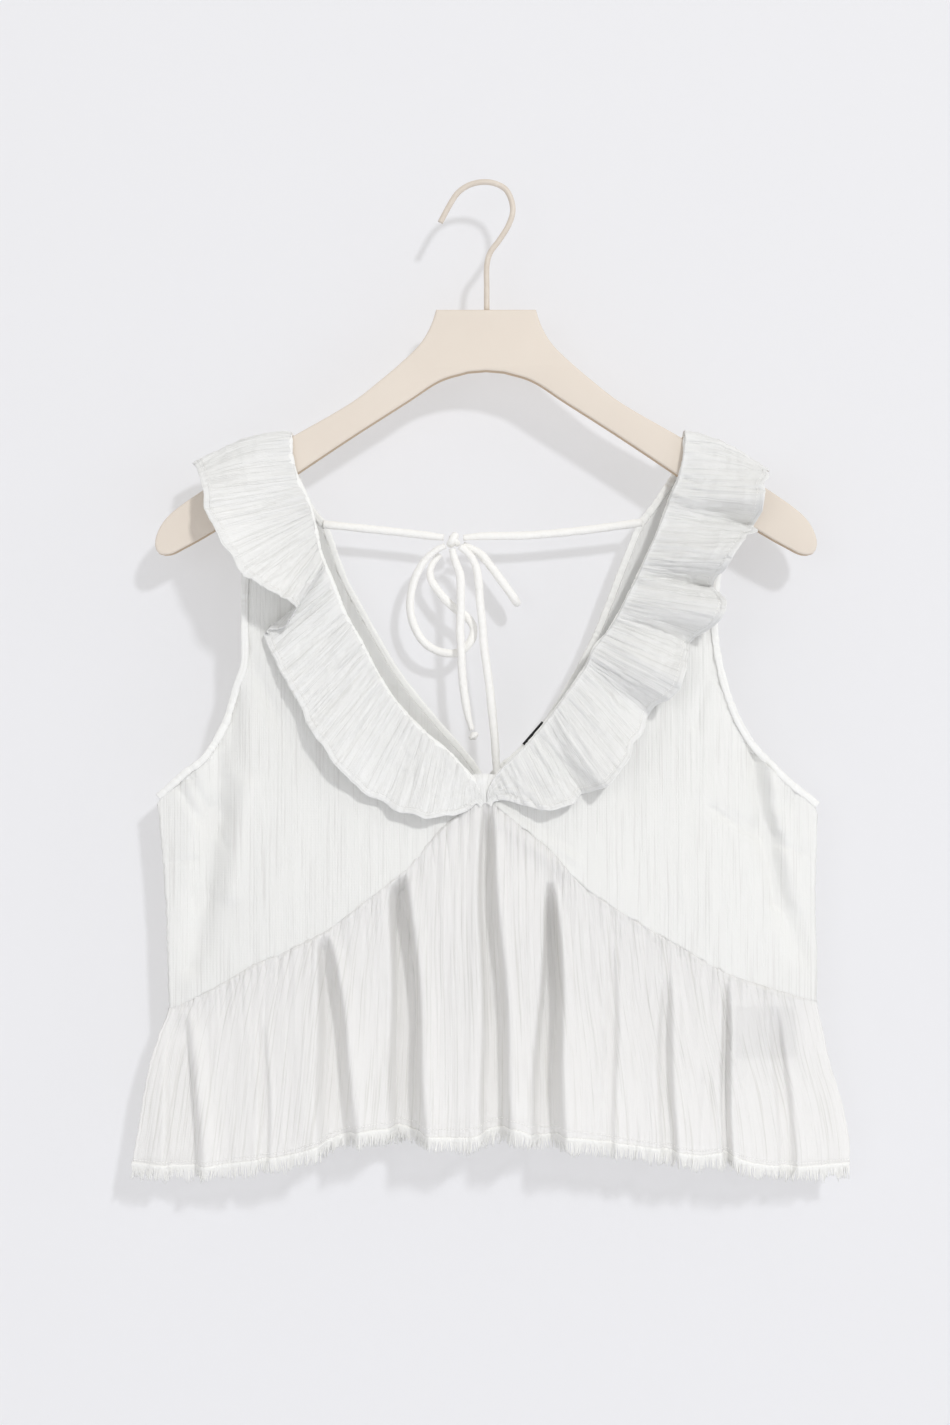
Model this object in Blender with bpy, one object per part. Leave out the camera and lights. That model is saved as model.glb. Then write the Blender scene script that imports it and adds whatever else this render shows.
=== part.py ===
"""Sleeveless ruffled gauze top hanging on a flat hanger, held by the hook."""
import math

import bmesh
import bpy
import numpy as np

MM = 0.001

# Driving sizes, in millimetres. +X is right as seen from the front, -Y is the front, +Z is up.
CLOTH = 1.2
FRILL = 1.0
SEAM_GAP = 0.3
BINDING_WIDE = 4.7
BINDING_THICK = 2.0
BINDING_OUT = 0.4
HANGER_THICK = 12.0
HANGER_EDGE = 2.0
HOOK_WIRE = 3.8
CORD = 5.6
RAW_EDGE_ABOVE_FRINGE_END = 9.5
FRINGE_BAND = 2.0
FRINGE_BAND_THICK = 1.1
FRONT_STRANDS = 72
BACK_STRANDS = 44
SIDE_DEPTH = 0.9

# Hanger board, half outline: (x, z) from the flat top round the arm's tip to the middle of the underside.
ARM_TOP = [
    (0, -83.8), (33, -83.8), (36.6, -94.4), (43.6, -106.3), (56, -118.6), (70, -130.5), (88, -144.5),
    (134.6, -171.6), (194.7, -208.2), (212, -222),
]
ARM_TIP = [(218, -232), (219.4, -240), (216.8, -245.5), (210, -246.2), (200, -241.5)]
ARM_UNDER = [(178.2, -229), (126.7, -193.4), (88, -167.5), (52, -144.5), (30, -130.5), (12, -125), (0, -124)]

# Hook, centre of the wire: (x, z).
HOOK = [
    (0.5, -83.5), (0.5, -68), (0.6, -53.5), (2.6, -45.5), (9.2, -36.3), (15.2, -26.4), (17.8, -17.8),
    (16.9, -10.4), (13, -3), (6, 0.9), (-2, 1.9), (-10, 0.3), (-15.6, -2.7), (-19.8, -6.6),
    (-24.6, -14.2), (-30.4, -25.1),
]

# Half width of the lens-shaped body: (z, left, right).
HALF_WIDTH = [
    (-120, 440, 440), (-200, 420, 420), (-300, 300, 300), (-380, 236, 236), (-409, 221, 222),
    (-430, 217.5, 221), (-451, 215.4, 220), (-475, 213.6, 219.6), (-506, 212.6, 220.8), (-547, 211, 221),
    (-571, 220.5, 226), (-595, 226, 231), (-627, 231.5, 241), (-655, 235, 243), (-690, 237, 245),
]
# Depth of the wall's middle from the hanger's plane: (z, front, back).
BODY_DEPTH = [
    (-120, 8.6, 8.6), (-200, 8.9, 8.9), (-300, 15, 11), (-400, 21, 13), (-470, 24, 13),
    (-547, 21, 11.5), (-600, 25, 15), (-664, 29, 18),
]
# How a strap goes over the hanger's arm: (out from the plane, above the arm's top).
OVER_ARM = [(0.2, 1.4), (3.8, 1.4), (6.0, 0.8), (7.4, -1.2), (7.8, -4.8)]
STRAP_FLAT_FROM = 10.0

# Outer edges of the cloth: (x, z), from the shoulder down.
NECK_FRONT_LEFT = [
    (-129.4, -169), (-127.4, -181), (-124, -194), (-116.2, -210.5), (-111.5, -228), (-107.8, -245.7),
    (-99.2, -266.6), (-91.7, -285.5), (-81.6, -303.2), (-74, -318), (-62.7, -337.3), (-52.5, -350),
    (-38, -364.5), (-25, -375), (-14.5, -386), (-7.3, -394), (-3.2, -402),
]
NECK_FRONT_RIGHT = [
    (132, -169), (128, -190.7), (120, -210.5), (112, -232.3), (102.2, -253.8), (97.5, -263.9),
    (88.7, -281.3), (79.2, -297.5), (71, -307), (64.9, -319.9), (56.6, -331.7), (48.2, -343.9),
    (37.6, -357.5), (25.5, -371.9), (11, -386), (4.2, -394), (0.6, -402),
]
NECK_BACK_LEFT = [
    (-129.4, -169), (-127.4, -181), (-123.4, -196), (-114.8, -213.8), (-106.3, -225), (-93, -260),
    (-80, -284.5), (-56.8, -324), (-30.4, -357), (-12, -378), (-3, -391),
]
NECK_BACK_RIGHT = [
    (132, -169), (130, -181), (122.4, -194), (111.5, -210.5), (101.6, -223.7), (91.7, -247.5),
    (69.3, -303.6), (47.5, -342.5), (35.6, -360.4), (17, -379), (3, -391),
]
NECK_EDGES = {
    (-1, False): NECK_FRONT_LEFT, (1, False): NECK_FRONT_RIGHT,
    (-1, True): NECK_BACK_LEFT, (1, True): NECK_BACK_RIGHT,
}
ARMHOLE_LEFT = [
    (-157, -184), (-158.4, -223.7), (-161.4, -263), (-161.6, -293), (-162, -320), (-166.3, -331),
    (-170.3, -344.5), (-174, -356), (-182.8, -372.3), (-189.6, -381), (-199.3, -388), (-207, -394.7),
    (-219.2, -405),
]
ARMHOLE_RIGHT = [
    (157, -185), (155.8, -250), (152.7, -289.5), (156, -317.7), (162, -340), (169.6, -357.7),
    (178.4, -371), (191.4, -385), (204.6, -397.3), (215.6, -405.5), (221.4, -410.5),
]
SIDE_LEFT = [(-218, -411), (-216, -428.7), (-214, -451), (-212.4, -475), (-211.3, -506), (-210, -548.5)]
SIDE_RIGHT = [(219.6, -417), (219, -441.5), (218.2, -474.5), (219.4, -514), (219, -543)]
UNDERBUST_LEFT = [
    (-4.5, -409.2), (-17.2, -417.5), (-30.4, -429), (-40.5, -440.9), (-52, -454), (-76, -472.6),
    (-103, -493.7), (-127.4, -506.6), (-151.8, -517.4), (-181.5, -534.6), (-210, -548.5),
]
UNDERBUST_RIGHT = [
    (2.5, -409.2), (9.2, -413.8), (25, -427.4), (42, -442.2), (60.7, -462.7), (94.2, -485.8),
    (133, -508.6), (163, -525.4), (193.7, -536.2), (219, -543),
]
WAIST_BACK_LEFT = [(-0.3, -527), (-110, -533), (-210, -548.5)]
WAIST_BACK_RIGHT = [(0.3, -527), (110, -532), (219, -543)]
CENTRE_BACK = [(3.2, -397), (0.4, -402), (0.3, -450), (0.3, -527)]

# Skirt edges: (x, z).
FRINGE_END_FRONT = [
    (-234.5, -661), (-195.4, -662.6), (-153, -656.7), (-128, -652), (-101.6, -643.5), (-83, -637),
    (-59.4, -635.6), (-45.5, -639), (-12.5, -640.2), (17.8, -634.3), (36.3, -641.5), (50.2, -640.2),
    (81.8, -644.2), (120, -649.4), (140, -652.7), (157.7, -651.4), (171, -657.4), (203.3, -662.6),
    (241, -661),
]
FRINGE_END_BACK = [
    (-234.5, -661), (-180, -655), (-120, -647), (-40, -637), (40, -636), (120, -645), (190, -655),
    (241, -661),
]
SKIRT_SIDE_LEFT = [(-210, -549), (-219, -571), (-225, -595), (-230.5, -627), (-234.5, -651.5)]
SKIRT_SIDE_RIGHT = [(219, -543.5), (223.5, -561.4), (228, -583), (236.8, -612), (241, -640), (241, -651.5)]

# Troughs of the front skirt: (x at the seam, z where it starts, x at the hem, half width, depth).
SKIRT_FOLDS_FRONT = [
    (-196, -552, -200, 8, 7), (-104, -500, -92, 9, 10), (-53, -452, -50, 9, 13), (-1, -410, 11, 10, 11),
    (40, -470, 43, 10, 13), (118, -520, 122, 8, 8), (158, -530, 161, 6, 5), (-148, -560, -150, 12, 4),
    (82, -545, 80, 12, 4),
]
SKIRT_FOLDS_BACK = [
    (-178, -545, -184, 12, 5), (-118, -535, -112, 11, 6), (-62, -530, -66, 12, 7), (4, -527, -2, 12, 7),
    (58, -530, 66, 11, 6.5), (112, -535, 118, 13, 6), (176, -540, 182, 11, 5),
]
# Soft creases of the bust panels: (x, z) at each end, half width, depth (plus is a trough).
BODICE_CREASES = [
    (-167, -340, -178, -420, 10, 3), (-178, -420, -192, -500, 11, 4), (176, -372, 184, -430, 9, 3),
    (184, -430, 208, -508, 10, 4), (-216, -451, -196, -449, 4, 1.5), (150, -415, 212, -446, 5, 2),
    (8, -420, 52, -455, 6, -2.5), (-150, -330, -120, -380, 9, 2), (120, -330, 96, -400, 12, 2),
]

# Ruffle rows on the front, from the V up: (seam x, seam z, edge x, edge z, lift off the body at the edge).
RUFFLE_FRONT_LEFT = [
    (-5.3, -402, -6.6, -408.5, 1), (-12, -394, -12, -413, 3), (-20, -388, -21, -416.5, 6),
    (-29, -379, -33.7, -419, 10), (-39.6, -370, -50, -417, 12), (-49, -361, -66.7, -410, 8),
    (-57, -353, -82, -400.6, 9), (-66.7, -340.6, -95.7, -388.7, 13), (-73, -329, -105.6, -375, 14),
    (-79, -317.5, -114.8, -360.4, 11), (-85.8, -306, -122.8, -346.5, 10), (-91.7, -296, -129.4, -334.6, 9),
    (-97.7, -284.5, -136.6, -318.8, 7), (-103, -271, -143.9, -307.6, 4), (-106, -263.3, -146, -299, 3),
    (-108.2, -256.7, -135, -296, 9), (-109.2, -253.4, -128.7, -291, 20), (-110.2, -250, -122.5, -281.5, 32),
    (-111.5, -242, -130.7, -274.6, 36), (-112.9, -233.6, -147.8, -267.3, 34),
    (-115.5, -223.7, -161.7, -255.4, 28), (-118.8, -215, -173, -234.3, 24),
    (-122.8, -205.3, -182.2, -218.5, 21), (-127.4, -196, -186.2, -204, 19),
]
RUFFLE_FRONT_RIGHT = [
    (5.5, -402, 5.3, -407, 1), (11, -394, 15.5, -408.5, 4), (20.5, -385, 33.7, -413.8, 9),
    (30, -375, 48.8, -413.8, 12), (37.5, -367, 61, -407.5, 4), (43, -360.5, 72.6, -401.3, 13),
    (50, -353, 79.2, -395.3, 18), (58, -344, 88.4, -384, 22), (66, -332, 102.3, -365.6, 19),
    (72.6, -321.4, 111.5, -352.4, 13), (77.2, -314, 116.2, -343.9, 3), (80.5, -308.2, 120.8, -338, 12),
    (85, -301.6, 132.7, -321.4, 25), (89.8, -293.7, 143.9, -300.3, 20), (95, -283, 148.5, -294.4, 3),
    (99, -275, 152.5, -284.5, 15), (103.6, -266.6, 158.4, -274.6, 27), (108.2, -258, 150, -267.3, 18),
    (112.9, -247.5, 149.2, -258, 4), (116, -240, 155.8, -251, 20), (119.5, -230, 171, -240.2, 30),
    (123.4, -219.8, 178.9, -225, 23), (128, -207, 181.5, -210, 27), (132, -196, 182.8, -200, 20),
]
# Rows over the shoulder: (depth and height over the arm at the seam, edge x, edge depth, edge z).
RUFFLE_OVER_LEFT = [
    (-10.2, -4.5, -191.4, -14, -191.5), (-7.4, 3.2, -194, -6, -186.5), (0, 4.4, -195, 0, -185),
    (7.4, 3.2, -194, 7, -187), (10.2, -4.5, -190, 15, -193),
]
RUFFLE_OVER_RIGHT = [
    (-10.2, -4.5, 184.8, -14, -192), (-7.4, 3.2, 185.5, -7, -189.5), (0, 4.4, 188, 0, -189),
    (7.4, 3.2, 192, 8, -190.5), (10.2, -4.5, 192, 16, -197),
]
# Rows down the back neck: (share of the way down, edge across, edge down, lift).
RUFFLE_BACK = [
    (0.03, 55, -18, 16), (0.09, 53, -27, 22), (0.15, 52, -32, 24), (0.22, 50, -30, 9), (0.29, 50, -31, 4),
    (0.36, 50, -36, 17), (0.43, 49, -38, 22), (0.50, 46, -35, 7), (0.57, 47, -36, 4), (0.64, 48, -38, 16),
    (0.71, 46, -36, 19), (0.78, 38, -33, 6), (0.85, 30, -30, 6), (0.92, 18, -24, 9), (0.985, 4, -14, 2),
]

# Cords: (x, depth, z) along the middle.
CORDS = {
    "tie_left": [(-104.0, 9.6, -225.4), (-80, 10.4, -227.8), (-52, 11, -230.8), (-28.2, 11, -233.7)],
    "tie_right": [
        (99.1, 9.6, -224.4), (64, 10.4, -229), (28, 11, -232.2), (-4, 11, -232.8), (-15.2, 11, -233.8),
    ],
    "bow_loop_left": [
        (-27.4, 8, -239.4), (-34, 9, -242.8), (-41.6, 10, -250.1), (-48.2, 10.6, -263.3),
        (-50.8, 11, -279.2), (-48.2, 11.4, -292.4), (-40.9, 11.8, -304.3), (-30.4, 12, -310.2),
        (-18.5, 12.2, -310.5), (-9.8, 12.6, -302.2), (-8.4, 13.2, -293.7), (-13.2, 14, -286.4),
        (-21, 14.8, -281), (-30.4, 15.6, -271.3), (-37, 16.2, -260.7), (-36.6, 16.4, -252.8),
        (-31, 16, -244.4),
    ],
    "bow_loop_right": [
        (-15.6, 9.4, -239.4), (-4.4, 11, -244), (2.6, 11.2, -252), (11.9, 11.4, -264.4),
        (19.6, 12, -275.2), (20.8, 14.6, -277.6), (19, 17.4, -274.4), (11, 18.4, -263.2),
        (1.6, 18.2, -250.6), (-6, 17.4, -242.6), (-15.2, 15.8, -238),
    ],
    "tie_tail_long": [
        (-22.6, 5.4, -241.8), (-20.5, 4.2, -250), (-17.2, 3.4, -259.4), (-16.8, 3.2, -270),
        (-16.8, 3.2, -284.5), (-17.2, 3.4, -295), (-16.5, 3.6, -309.5), (-15.8, 4, -324),
        (-14.5, 4.4, -337.3), (-11.9, 4.8, -353), (-9.3, 5.1, -362.5),
    ],
    "tie_tail_short": [
        (-17.4, 4.0, -240.2), (-10.6, 3.4, -246), (-6.6, 3.2, -254), (-4.6, 3.2, -266),
        (-4, 3.4, -276.5), (-2.4, 3.4, -291), (-1.4, 3.6, -305), (0.4, 3.8, -319), (2.4, 4, -333.3),
        (4.2, 4, -350.5), (5.9, 4, -369), (6.8, 4, -386), (7.2, 4, -399),
    ],
}
KNOTS = {
    "bow_knot": (-22.2, 9.8, -235.4, 6.2, 4.8, 4.6),
    "tail_end_knot": (-8.2, 5.2, -366.4, 3.8, 3.4, 3.6),
    "tail_end_knot_hidden": (7.3, 4.0, -403.2, 3.8, 3.4, 3.6),
}
# Labels: first corner (x, z), the way along, the way down; both in millimetres.
NECK_LABEL = ((24, -371.2), (13, 15), (10.6, -9.2))
CARE_LABEL = ((166, -546), (40, 0), (0, -35))


def look(name, colour, rough):
    made = bpy.data.materials.new(name)
    made.use_nodes = True
    made.diffuse_color = (*colour, 1.0)
    shader = made.node_tree.nodes["Principled BSDF"]
    shader.inputs["Base Color"].default_value = (*colour, 1.0)
    shader.inputs["Roughness"].default_value = rough
    shader.inputs["Metallic"].default_value = 0.0
    return made


def even(points, count):
    """The same line with its points evenly spaced."""
    p = np.asarray(points, float)
    run = np.concatenate([[0.0], np.cumsum(np.linalg.norm(np.diff(p, axis=0), axis=1))])
    at = np.linspace(0.0, run[-1], count)
    return np.stack([np.interp(at, run, p[:, k]) for k in range(p.shape[1])], axis=1)


def smooth(points, count):
    """A smooth curve through a table's points, evenly spaced."""
    p = np.asarray(points, float)
    step = np.sqrt(np.linalg.norm(np.diff(p, axis=0), axis=1))
    t = np.concatenate([[0.0], np.cumsum(step)])
    slope = np.gradient(p, t, axis=0)
    fine = np.linspace(0.0, t[-1], 14 * (len(p) - 1) + 1)
    k = np.clip(np.searchsorted(t, fine, side="right") - 1, 0, len(p) - 2)
    h = (t[k + 1] - t[k])[:, None]
    s = ((fine - t[k])[:, None]) / h
    made = (2 * s**3 - 3 * s**2 + 1) * p[k] + (s**3 - 2 * s**2 + s) * h * slope[k]
    made += (3 * s**2 - 2 * s**3) * p[k + 1] + (s**3 - s**2) * h * slope[k + 1]
    return even(made, count)


def beside(curve, distance):
    """A flat x-z curve moved sideways, plus to its left as it is walked."""
    d = np.gradient(curve, axis=0)
    d /= np.linalg.norm(d, axis=1)[:, None]
    return curve + np.stack([-d[:, 1], d[:, 0]], axis=1) * distance


def column(table, at, index):
    rows = np.asarray(table, float)
    return np.interp(-np.asarray(at, float), -rows[:, 0], rows[:, index])


def arm_top(x):
    rows = np.asarray(ARM_TOP, float)
    return np.interp(np.abs(x), rows[:, 0], rows[:, 1])


def crease(x, z, rows):
    total = np.zeros_like(np.asarray(x, float))
    for x0, z0, x1, z1, half, deep in rows:
        ax, az = x1 - x0, z1 - z0
        t = np.clip(((x - x0) * ax + (z - z0) * az) / (ax * ax + az * az), 0, 1)
        away = np.hypot(x - x0 - t * ax, z - z0 - t * az)
        total = total + deep * np.exp(-((away / half) ** 2))
    return total


def body(x, z, back=False):
    """Distance of the wall's middle from the hanger's plane."""
    half = np.where(np.asarray(x) < 0, column(HALF_WIDTH, z, 1), column(HALF_WIDTH, z, 2))
    full = column(BODY_DEPTH, z, 2 if back else 1)
    lens = 1 - np.clip(np.abs(x) / half, 0, 1) ** 2.6
    out = SIDE_DEPTH + (full - SIDE_DEPTH) * lens
    if not back:
        out = out - crease(x, z, BODICE_CREASES) * np.clip(lens * 3, 0, 1)
    return np.maximum(out, SIDE_DEPTH)


def patch(top, bottom, inner, outer):
    u = np.linspace(0, 1, len(top))[None, :, None]
    v = np.linspace(0, 1, len(inner))[:, None, None]
    made = (1 - v) * top[None] + v * bottom[None] + (1 - u) * inner[:, None] + u * outer[:, None]
    made -= (1 - u) * (1 - v) * top[0] + u * (1 - v) * top[-1]
    return made - (1 - u) * v * bottom[0] - u * v * bottom[-1]


def facing(grid):
    along = np.gradient(grid, axis=0)
    across = np.gradient(grid, axis=1)
    n = np.cross(along, across)
    return n / np.maximum(np.linalg.norm(n, axis=2)[:, :, None], 1e-9)


def solid(name, points, faces, material):
    mesh = bpy.data.meshes.new(name)
    mesh.from_pydata([tuple(p) for p in np.asarray(points) * MM], [], faces)
    shape = bmesh.new()
    shape.from_mesh(mesh)
    bmesh.ops.recalc_face_normals(shape, faces=shape.faces)
    shape.to_mesh(mesh)
    shape.free()
    mesh.materials.append(material)
    made = bpy.data.objects.new(name, mesh)
    bpy.context.scene.collection.objects.link(made)
    return made


def wall(name, grid, thick, material):
    """A grid of points given a wall, half the thickness each way."""
    rows, cols = grid.shape[:2]
    n = facing(grid)
    points = np.concatenate([(grid + n * thick / 2).reshape(-1, 3), (grid - n * thick / 2).reshape(-1, 3)])
    under = rows * cols
    faces = []
    for i in range(rows - 1):
        for j in range(cols - 1):
            a = i * cols + j
            b, c, d = a + 1, a + cols + 1, a + cols
            faces.append((a, b, c, d))
            faces.append((d + under, c + under, b + under, a + under))
    rim = [j for j in range(cols)] + [i * cols + cols - 1 for i in range(1, rows)]
    rim += [(rows - 1) * cols + j for j in range(cols - 2, -1, -1)]
    rim += [i * cols for i in range(rows - 2, 0, -1)]
    for k, a in enumerate(rim):
        b = rim[(k + 1) % len(rim)]
        faces.append((a, a + under, b + under, b))
    return solid(name, points, faces, material)


def band(name, line, across, out, wide, thick, material):
    """A narrow strip along a line, six-sided in section."""
    section = [(-0.5, 0), (-0.36, 0.5), (0.36, 0.5), (0.5, 0), (0.36, -0.5), (-0.36, -0.5)]
    rings = [line + across * (s * wide) + out * (t * thick) for s, t in section]
    points = np.stack(rings, axis=1).reshape(-1, 3)
    count, sides = len(line), len(section)
    faces = []
    for i in range(count - 1):
        for k in range(sides):
            a, b = i * sides + k, i * sides + (k + 1) % sides
            faces.append((a, b, b + sides, a + sides))
    faces.append(tuple(range(sides)))
    faces.append(tuple((count - 1) * sides + k for k in range(sides)))
    return solid(name, points, faces, material)


def cord(name, points, wide, material, spacing=2.0):
    line = np.asarray(points, float)
    length = np.sum(np.linalg.norm(np.diff(smooth(line, 120), axis=0), axis=1))
    line = smooth(line, min(80, int(length / (wide * spacing)) + 2))
    curve = bpy.data.curves.new(name, "CURVE")
    curve.dimensions = "3D"
    curve.bevel_depth = wide / 2 * MM
    curve.bevel_resolution = 2
    curve.use_fill_caps = True
    spline = curve.splines.new("POLY")
    spline.points.add(len(line) - 1)
    for point, place in zip(spline.points, line):
        point.co = (*(place * MM), 1.0)
    curve.materials.append(material)
    made = bpy.data.objects.new(name, curve)
    bpy.context.scene.collection.objects.link(made)
    return made


def knot(name, spec, material):
    x, y, z, rx, ry, rz = spec
    shape = bmesh.new()
    bmesh.ops.create_uvsphere(shape, u_segments=10, v_segments=7, radius=1.0)
    for v in shape.verts:
        v.co = ((x + v.co.x * rx) * MM, (y + v.co.y * ry) * MM, (z + v.co.z * rz) * MM)
    mesh = bpy.data.meshes.new(name)
    shape.to_mesh(mesh)
    shape.free()
    mesh.materials.append(material)
    made = bpy.data.objects.new(name, mesh)
    bpy.context.scene.collection.objects.link(made)
    return made


def flat_part(curve):
    """The part of an edge below where the strap leaves the hanger's arm."""
    return curve[curve[:, 1] < arm_top(curve[:, 0]) - STRAP_FLAT_FROM]


def over_strap(x, back=False):
    """Wall points over the arm at each x, from the shoulder seam down."""
    sign = 1 if back else -1
    rows = []
    for out, high in OVER_ARM:
        rows.append(np.stack([x, np.full_like(x, sign * out), arm_top(x) + high], axis=1))
    return np.stack(rows)


def panel(side, back, cols, rows):
    """A bust or back panel: neck seam to armhole, shoulder to waist."""
    left = side < 0
    inner = neck_line(side, BINDING_WIDE + SEAM_GAP, back)
    hole = beside(smooth(ARMHOLE_LEFT if left else ARMHOLE_RIGHT, 160), -side * (BINDING_WIDE + SEAM_GAP))
    edge = np.asarray(SIDE_LEFT if left else SIDE_RIGHT, float)
    hole = flat_part(hole[hole[:, 1] > edge[0, 1] + 3])
    outer = even(np.concatenate([hole, smooth(edge, 40)]), rows)
    if back:
        middle = np.asarray(CENTRE_BACK, float) * (side, 1)
        inner = np.concatenate([inner[inner[:, 1] > -392], middle])
        base = smooth(WAIST_BACK_LEFT if left else WAIST_BACK_RIGHT, cols)
    else:
        base = smooth(UNDERBUST_LEFT if left else UNDERBUST_RIGHT, cols)
        inner = inner[inner[:, 1] > base[0, 1] + 3]
        inner = np.concatenate([inner, base[:1]])
    inner = even(inner, rows)
    outer[-1], inner[-1] = base[-1], base[0]
    head = np.linspace(inner[0], outer[0], cols)
    flat = patch(head, base, inner, outer)
    x, z = flat[:, :, 0], flat[:, :, 1]
    y = body(x, z, back) * (1 if back else -1)
    return np.concatenate([over_strap(head[:, 0], back), np.stack([x, y, z], axis=2)])


def neck_line(side, distance, back):
    """The neck edge moved into the cloth, flat part only."""
    table = NECK_EDGES[side, back]
    return flat_part(beside(smooth(table, 160), side * distance))


def edge_band(name, front, back, at, material):
    """A binding along the edge column of a front and a back panel, over the shoulder."""
    parts = []
    for grid in (front, back):
        n = facing(grid)
        if np.sum(n[8, :, 1] * grid[8, :, 1]) < 0:
            n = -n
        edge, beyond, out = grid[:, at], grid[:, 1 if at == 0 else at - 1], n[:, at]
        across = beyond - edge
        if at == 0:
            keep = edge[:, 2] > (-394 if grid is back else -407)
        else:
            keep = edge[:, 2] > -408
        parts.append([edge[keep], across[keep], out[keep]])
    joined = [np.concatenate([f[::-1], b[1:]]) for f, b in zip(*parts)]
    edge, across, out = joined
    along = np.gradient(edge, axis=0)
    along /= np.linalg.norm(along, axis=1)[:, None]
    across = across - along * np.sum(across * along, axis=1)[:, None]
    across /= np.linalg.norm(across, axis=1)[:, None]
    out = out - along * np.sum(out * along, axis=1)[:, None]
    out -= across * np.sum(out * across, axis=1)[:, None]
    out /= np.linalg.norm(out, axis=1)[:, None]
    line = edge - across * (SEAM_GAP + BINDING_WIDE / 2) + out * BINDING_OUT
    return band(name, line, across, out, BINDING_WIDE, BINDING_THICK, material)


def ruffle(side, per_row, cols):
    """One gathered strip: rows from the neck seam to the free edge, front V to back V."""
    left = side < 0
    t = np.linspace(0, 1, cols)[:, None]
    rows = []
    root = BINDING_OUT + BINDING_THICK / 2 + 0.35 + FRILL / 2
    seam = neck_line(side, BINDING_WIDE - 0.2, False)
    for sx, sz, ex, ez, lift in RUFFLE_FRONT_LEFT if left else RUFFLE_FRONT_RIGHT:
        start = seam[np.argmin(np.hypot(seam[:, 0] - sx, seam[:, 1] - sz))]
        flat = start + (np.array([ex, ez]) - start) * t
        y = -(body(flat[:, :1], flat[:, 1:]) + root + lift * t**1.25)
        rows.append(np.concatenate([flat[:, :1], y, flat[:, 1:]], axis=1))
    over_x = seam[0, 0]
    for sy, high, ex, ey, ez in RUFFLE_OVER_LEFT if left else RUFFLE_OVER_RIGHT:
        start = np.array([over_x, sy, arm_top(over_x) + high])
        line = start + (np.array([ex, ey, ez]) - start) * t
        line[:, 2] += 5.0 * np.sin(np.pi * t[:, 0])
        rows.append(line)
    seam = neck_line(side, BINDING_WIDE - 0.2, True)
    seam = seam[np.abs(seam[:, 0]) > 3]
    for share, across, down, lift in RUFFLE_BACK:
        line = seam[int(share * (len(seam) - 1))] + np.array([side * across, down]) * t
        y = body(line[:, :1], line[:, 1:], True) + root + lift * t**1.25
        rows.append(np.concatenate([line[:, :1], y, line[:, 1:]], axis=1))
    rows = np.stack(rows)
    count = int((len(rows) - 1) * per_row) + 1
    return np.stack([smooth_even_rows(rows[:, j], count) for j in range(cols)], axis=1)


def smooth_even_rows(points, count):
    """A smooth curve through the points that keeps each point's own place in the count."""
    p = np.asarray(points, float)
    t = np.arange(len(p), dtype=float)
    slope = np.gradient(p, axis=0)
    fine = np.linspace(0.0, t[-1], count)
    k = np.clip(fine.astype(int), 0, len(p) - 2)
    s = (fine - k)[:, None]
    made = (2 * s**3 - 3 * s**2 + 1) * p[k] + (s**3 - 2 * s**2 + s) * slope[k]
    return made + (3 * s**2 - 2 * s**3) * p[k + 1] + (s**3 - s**2) * slope[k + 1]


def skirt(left, right, back, cols, rows):
    """A gathered skirt piece hung from the bottom edges of its two upper panels."""
    low = smooth(FRINGE_END_BACK if back else FRINGE_END_FRONT, cols) + (0, RAW_EDGE_ABOVE_FRINGE_END)
    head = even(np.concatenate([left[-1][::-1], right[-1]]), cols) - (0, 0, SEAM_GAP + 0.3)
    top = head[:, [0, 2]]
    sides = [smooth(SKIRT_SIDE_LEFT, rows), smooth(SKIRT_SIDE_RIGHT, rows)]
    for edge, corner in zip(sides, (0, -1)):
        edge[0], edge[-1] = top[corner], low[corner]
    flat = patch(top, low, sides[0], sides[1])
    x, z = flat[:, :, 0], flat[:, :, 1]
    out = body(x, z, back)
    free = np.clip((out - SIDE_DEPTH) / 6, 0, 1)
    drop = top[None, :, 1] - z
    for x0, z0, x1, half, deep in SKIRT_FOLDS_BACK if back else SKIRT_FOLDS_FRONT:
        t = np.clip((z0 - z) / (z0 + 655), 0, 1)
        at = x0 + (x1 - x0) * t
        out = out - deep * free * t**0.6 * np.exp(-(((x - at) / half) ** 2)) * np.clip(drop / 15, 0, 1)
    out = out + free * 3.0 * np.clip(drop / 60, 0, 1) * np.sin(x / 21.0 + 0.8)
    out = np.maximum(out, SIDE_DEPTH)
    out[0] = np.abs(head[:, 1])
    return np.stack([x, out * (1 if back else -1), z], axis=2)


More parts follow.
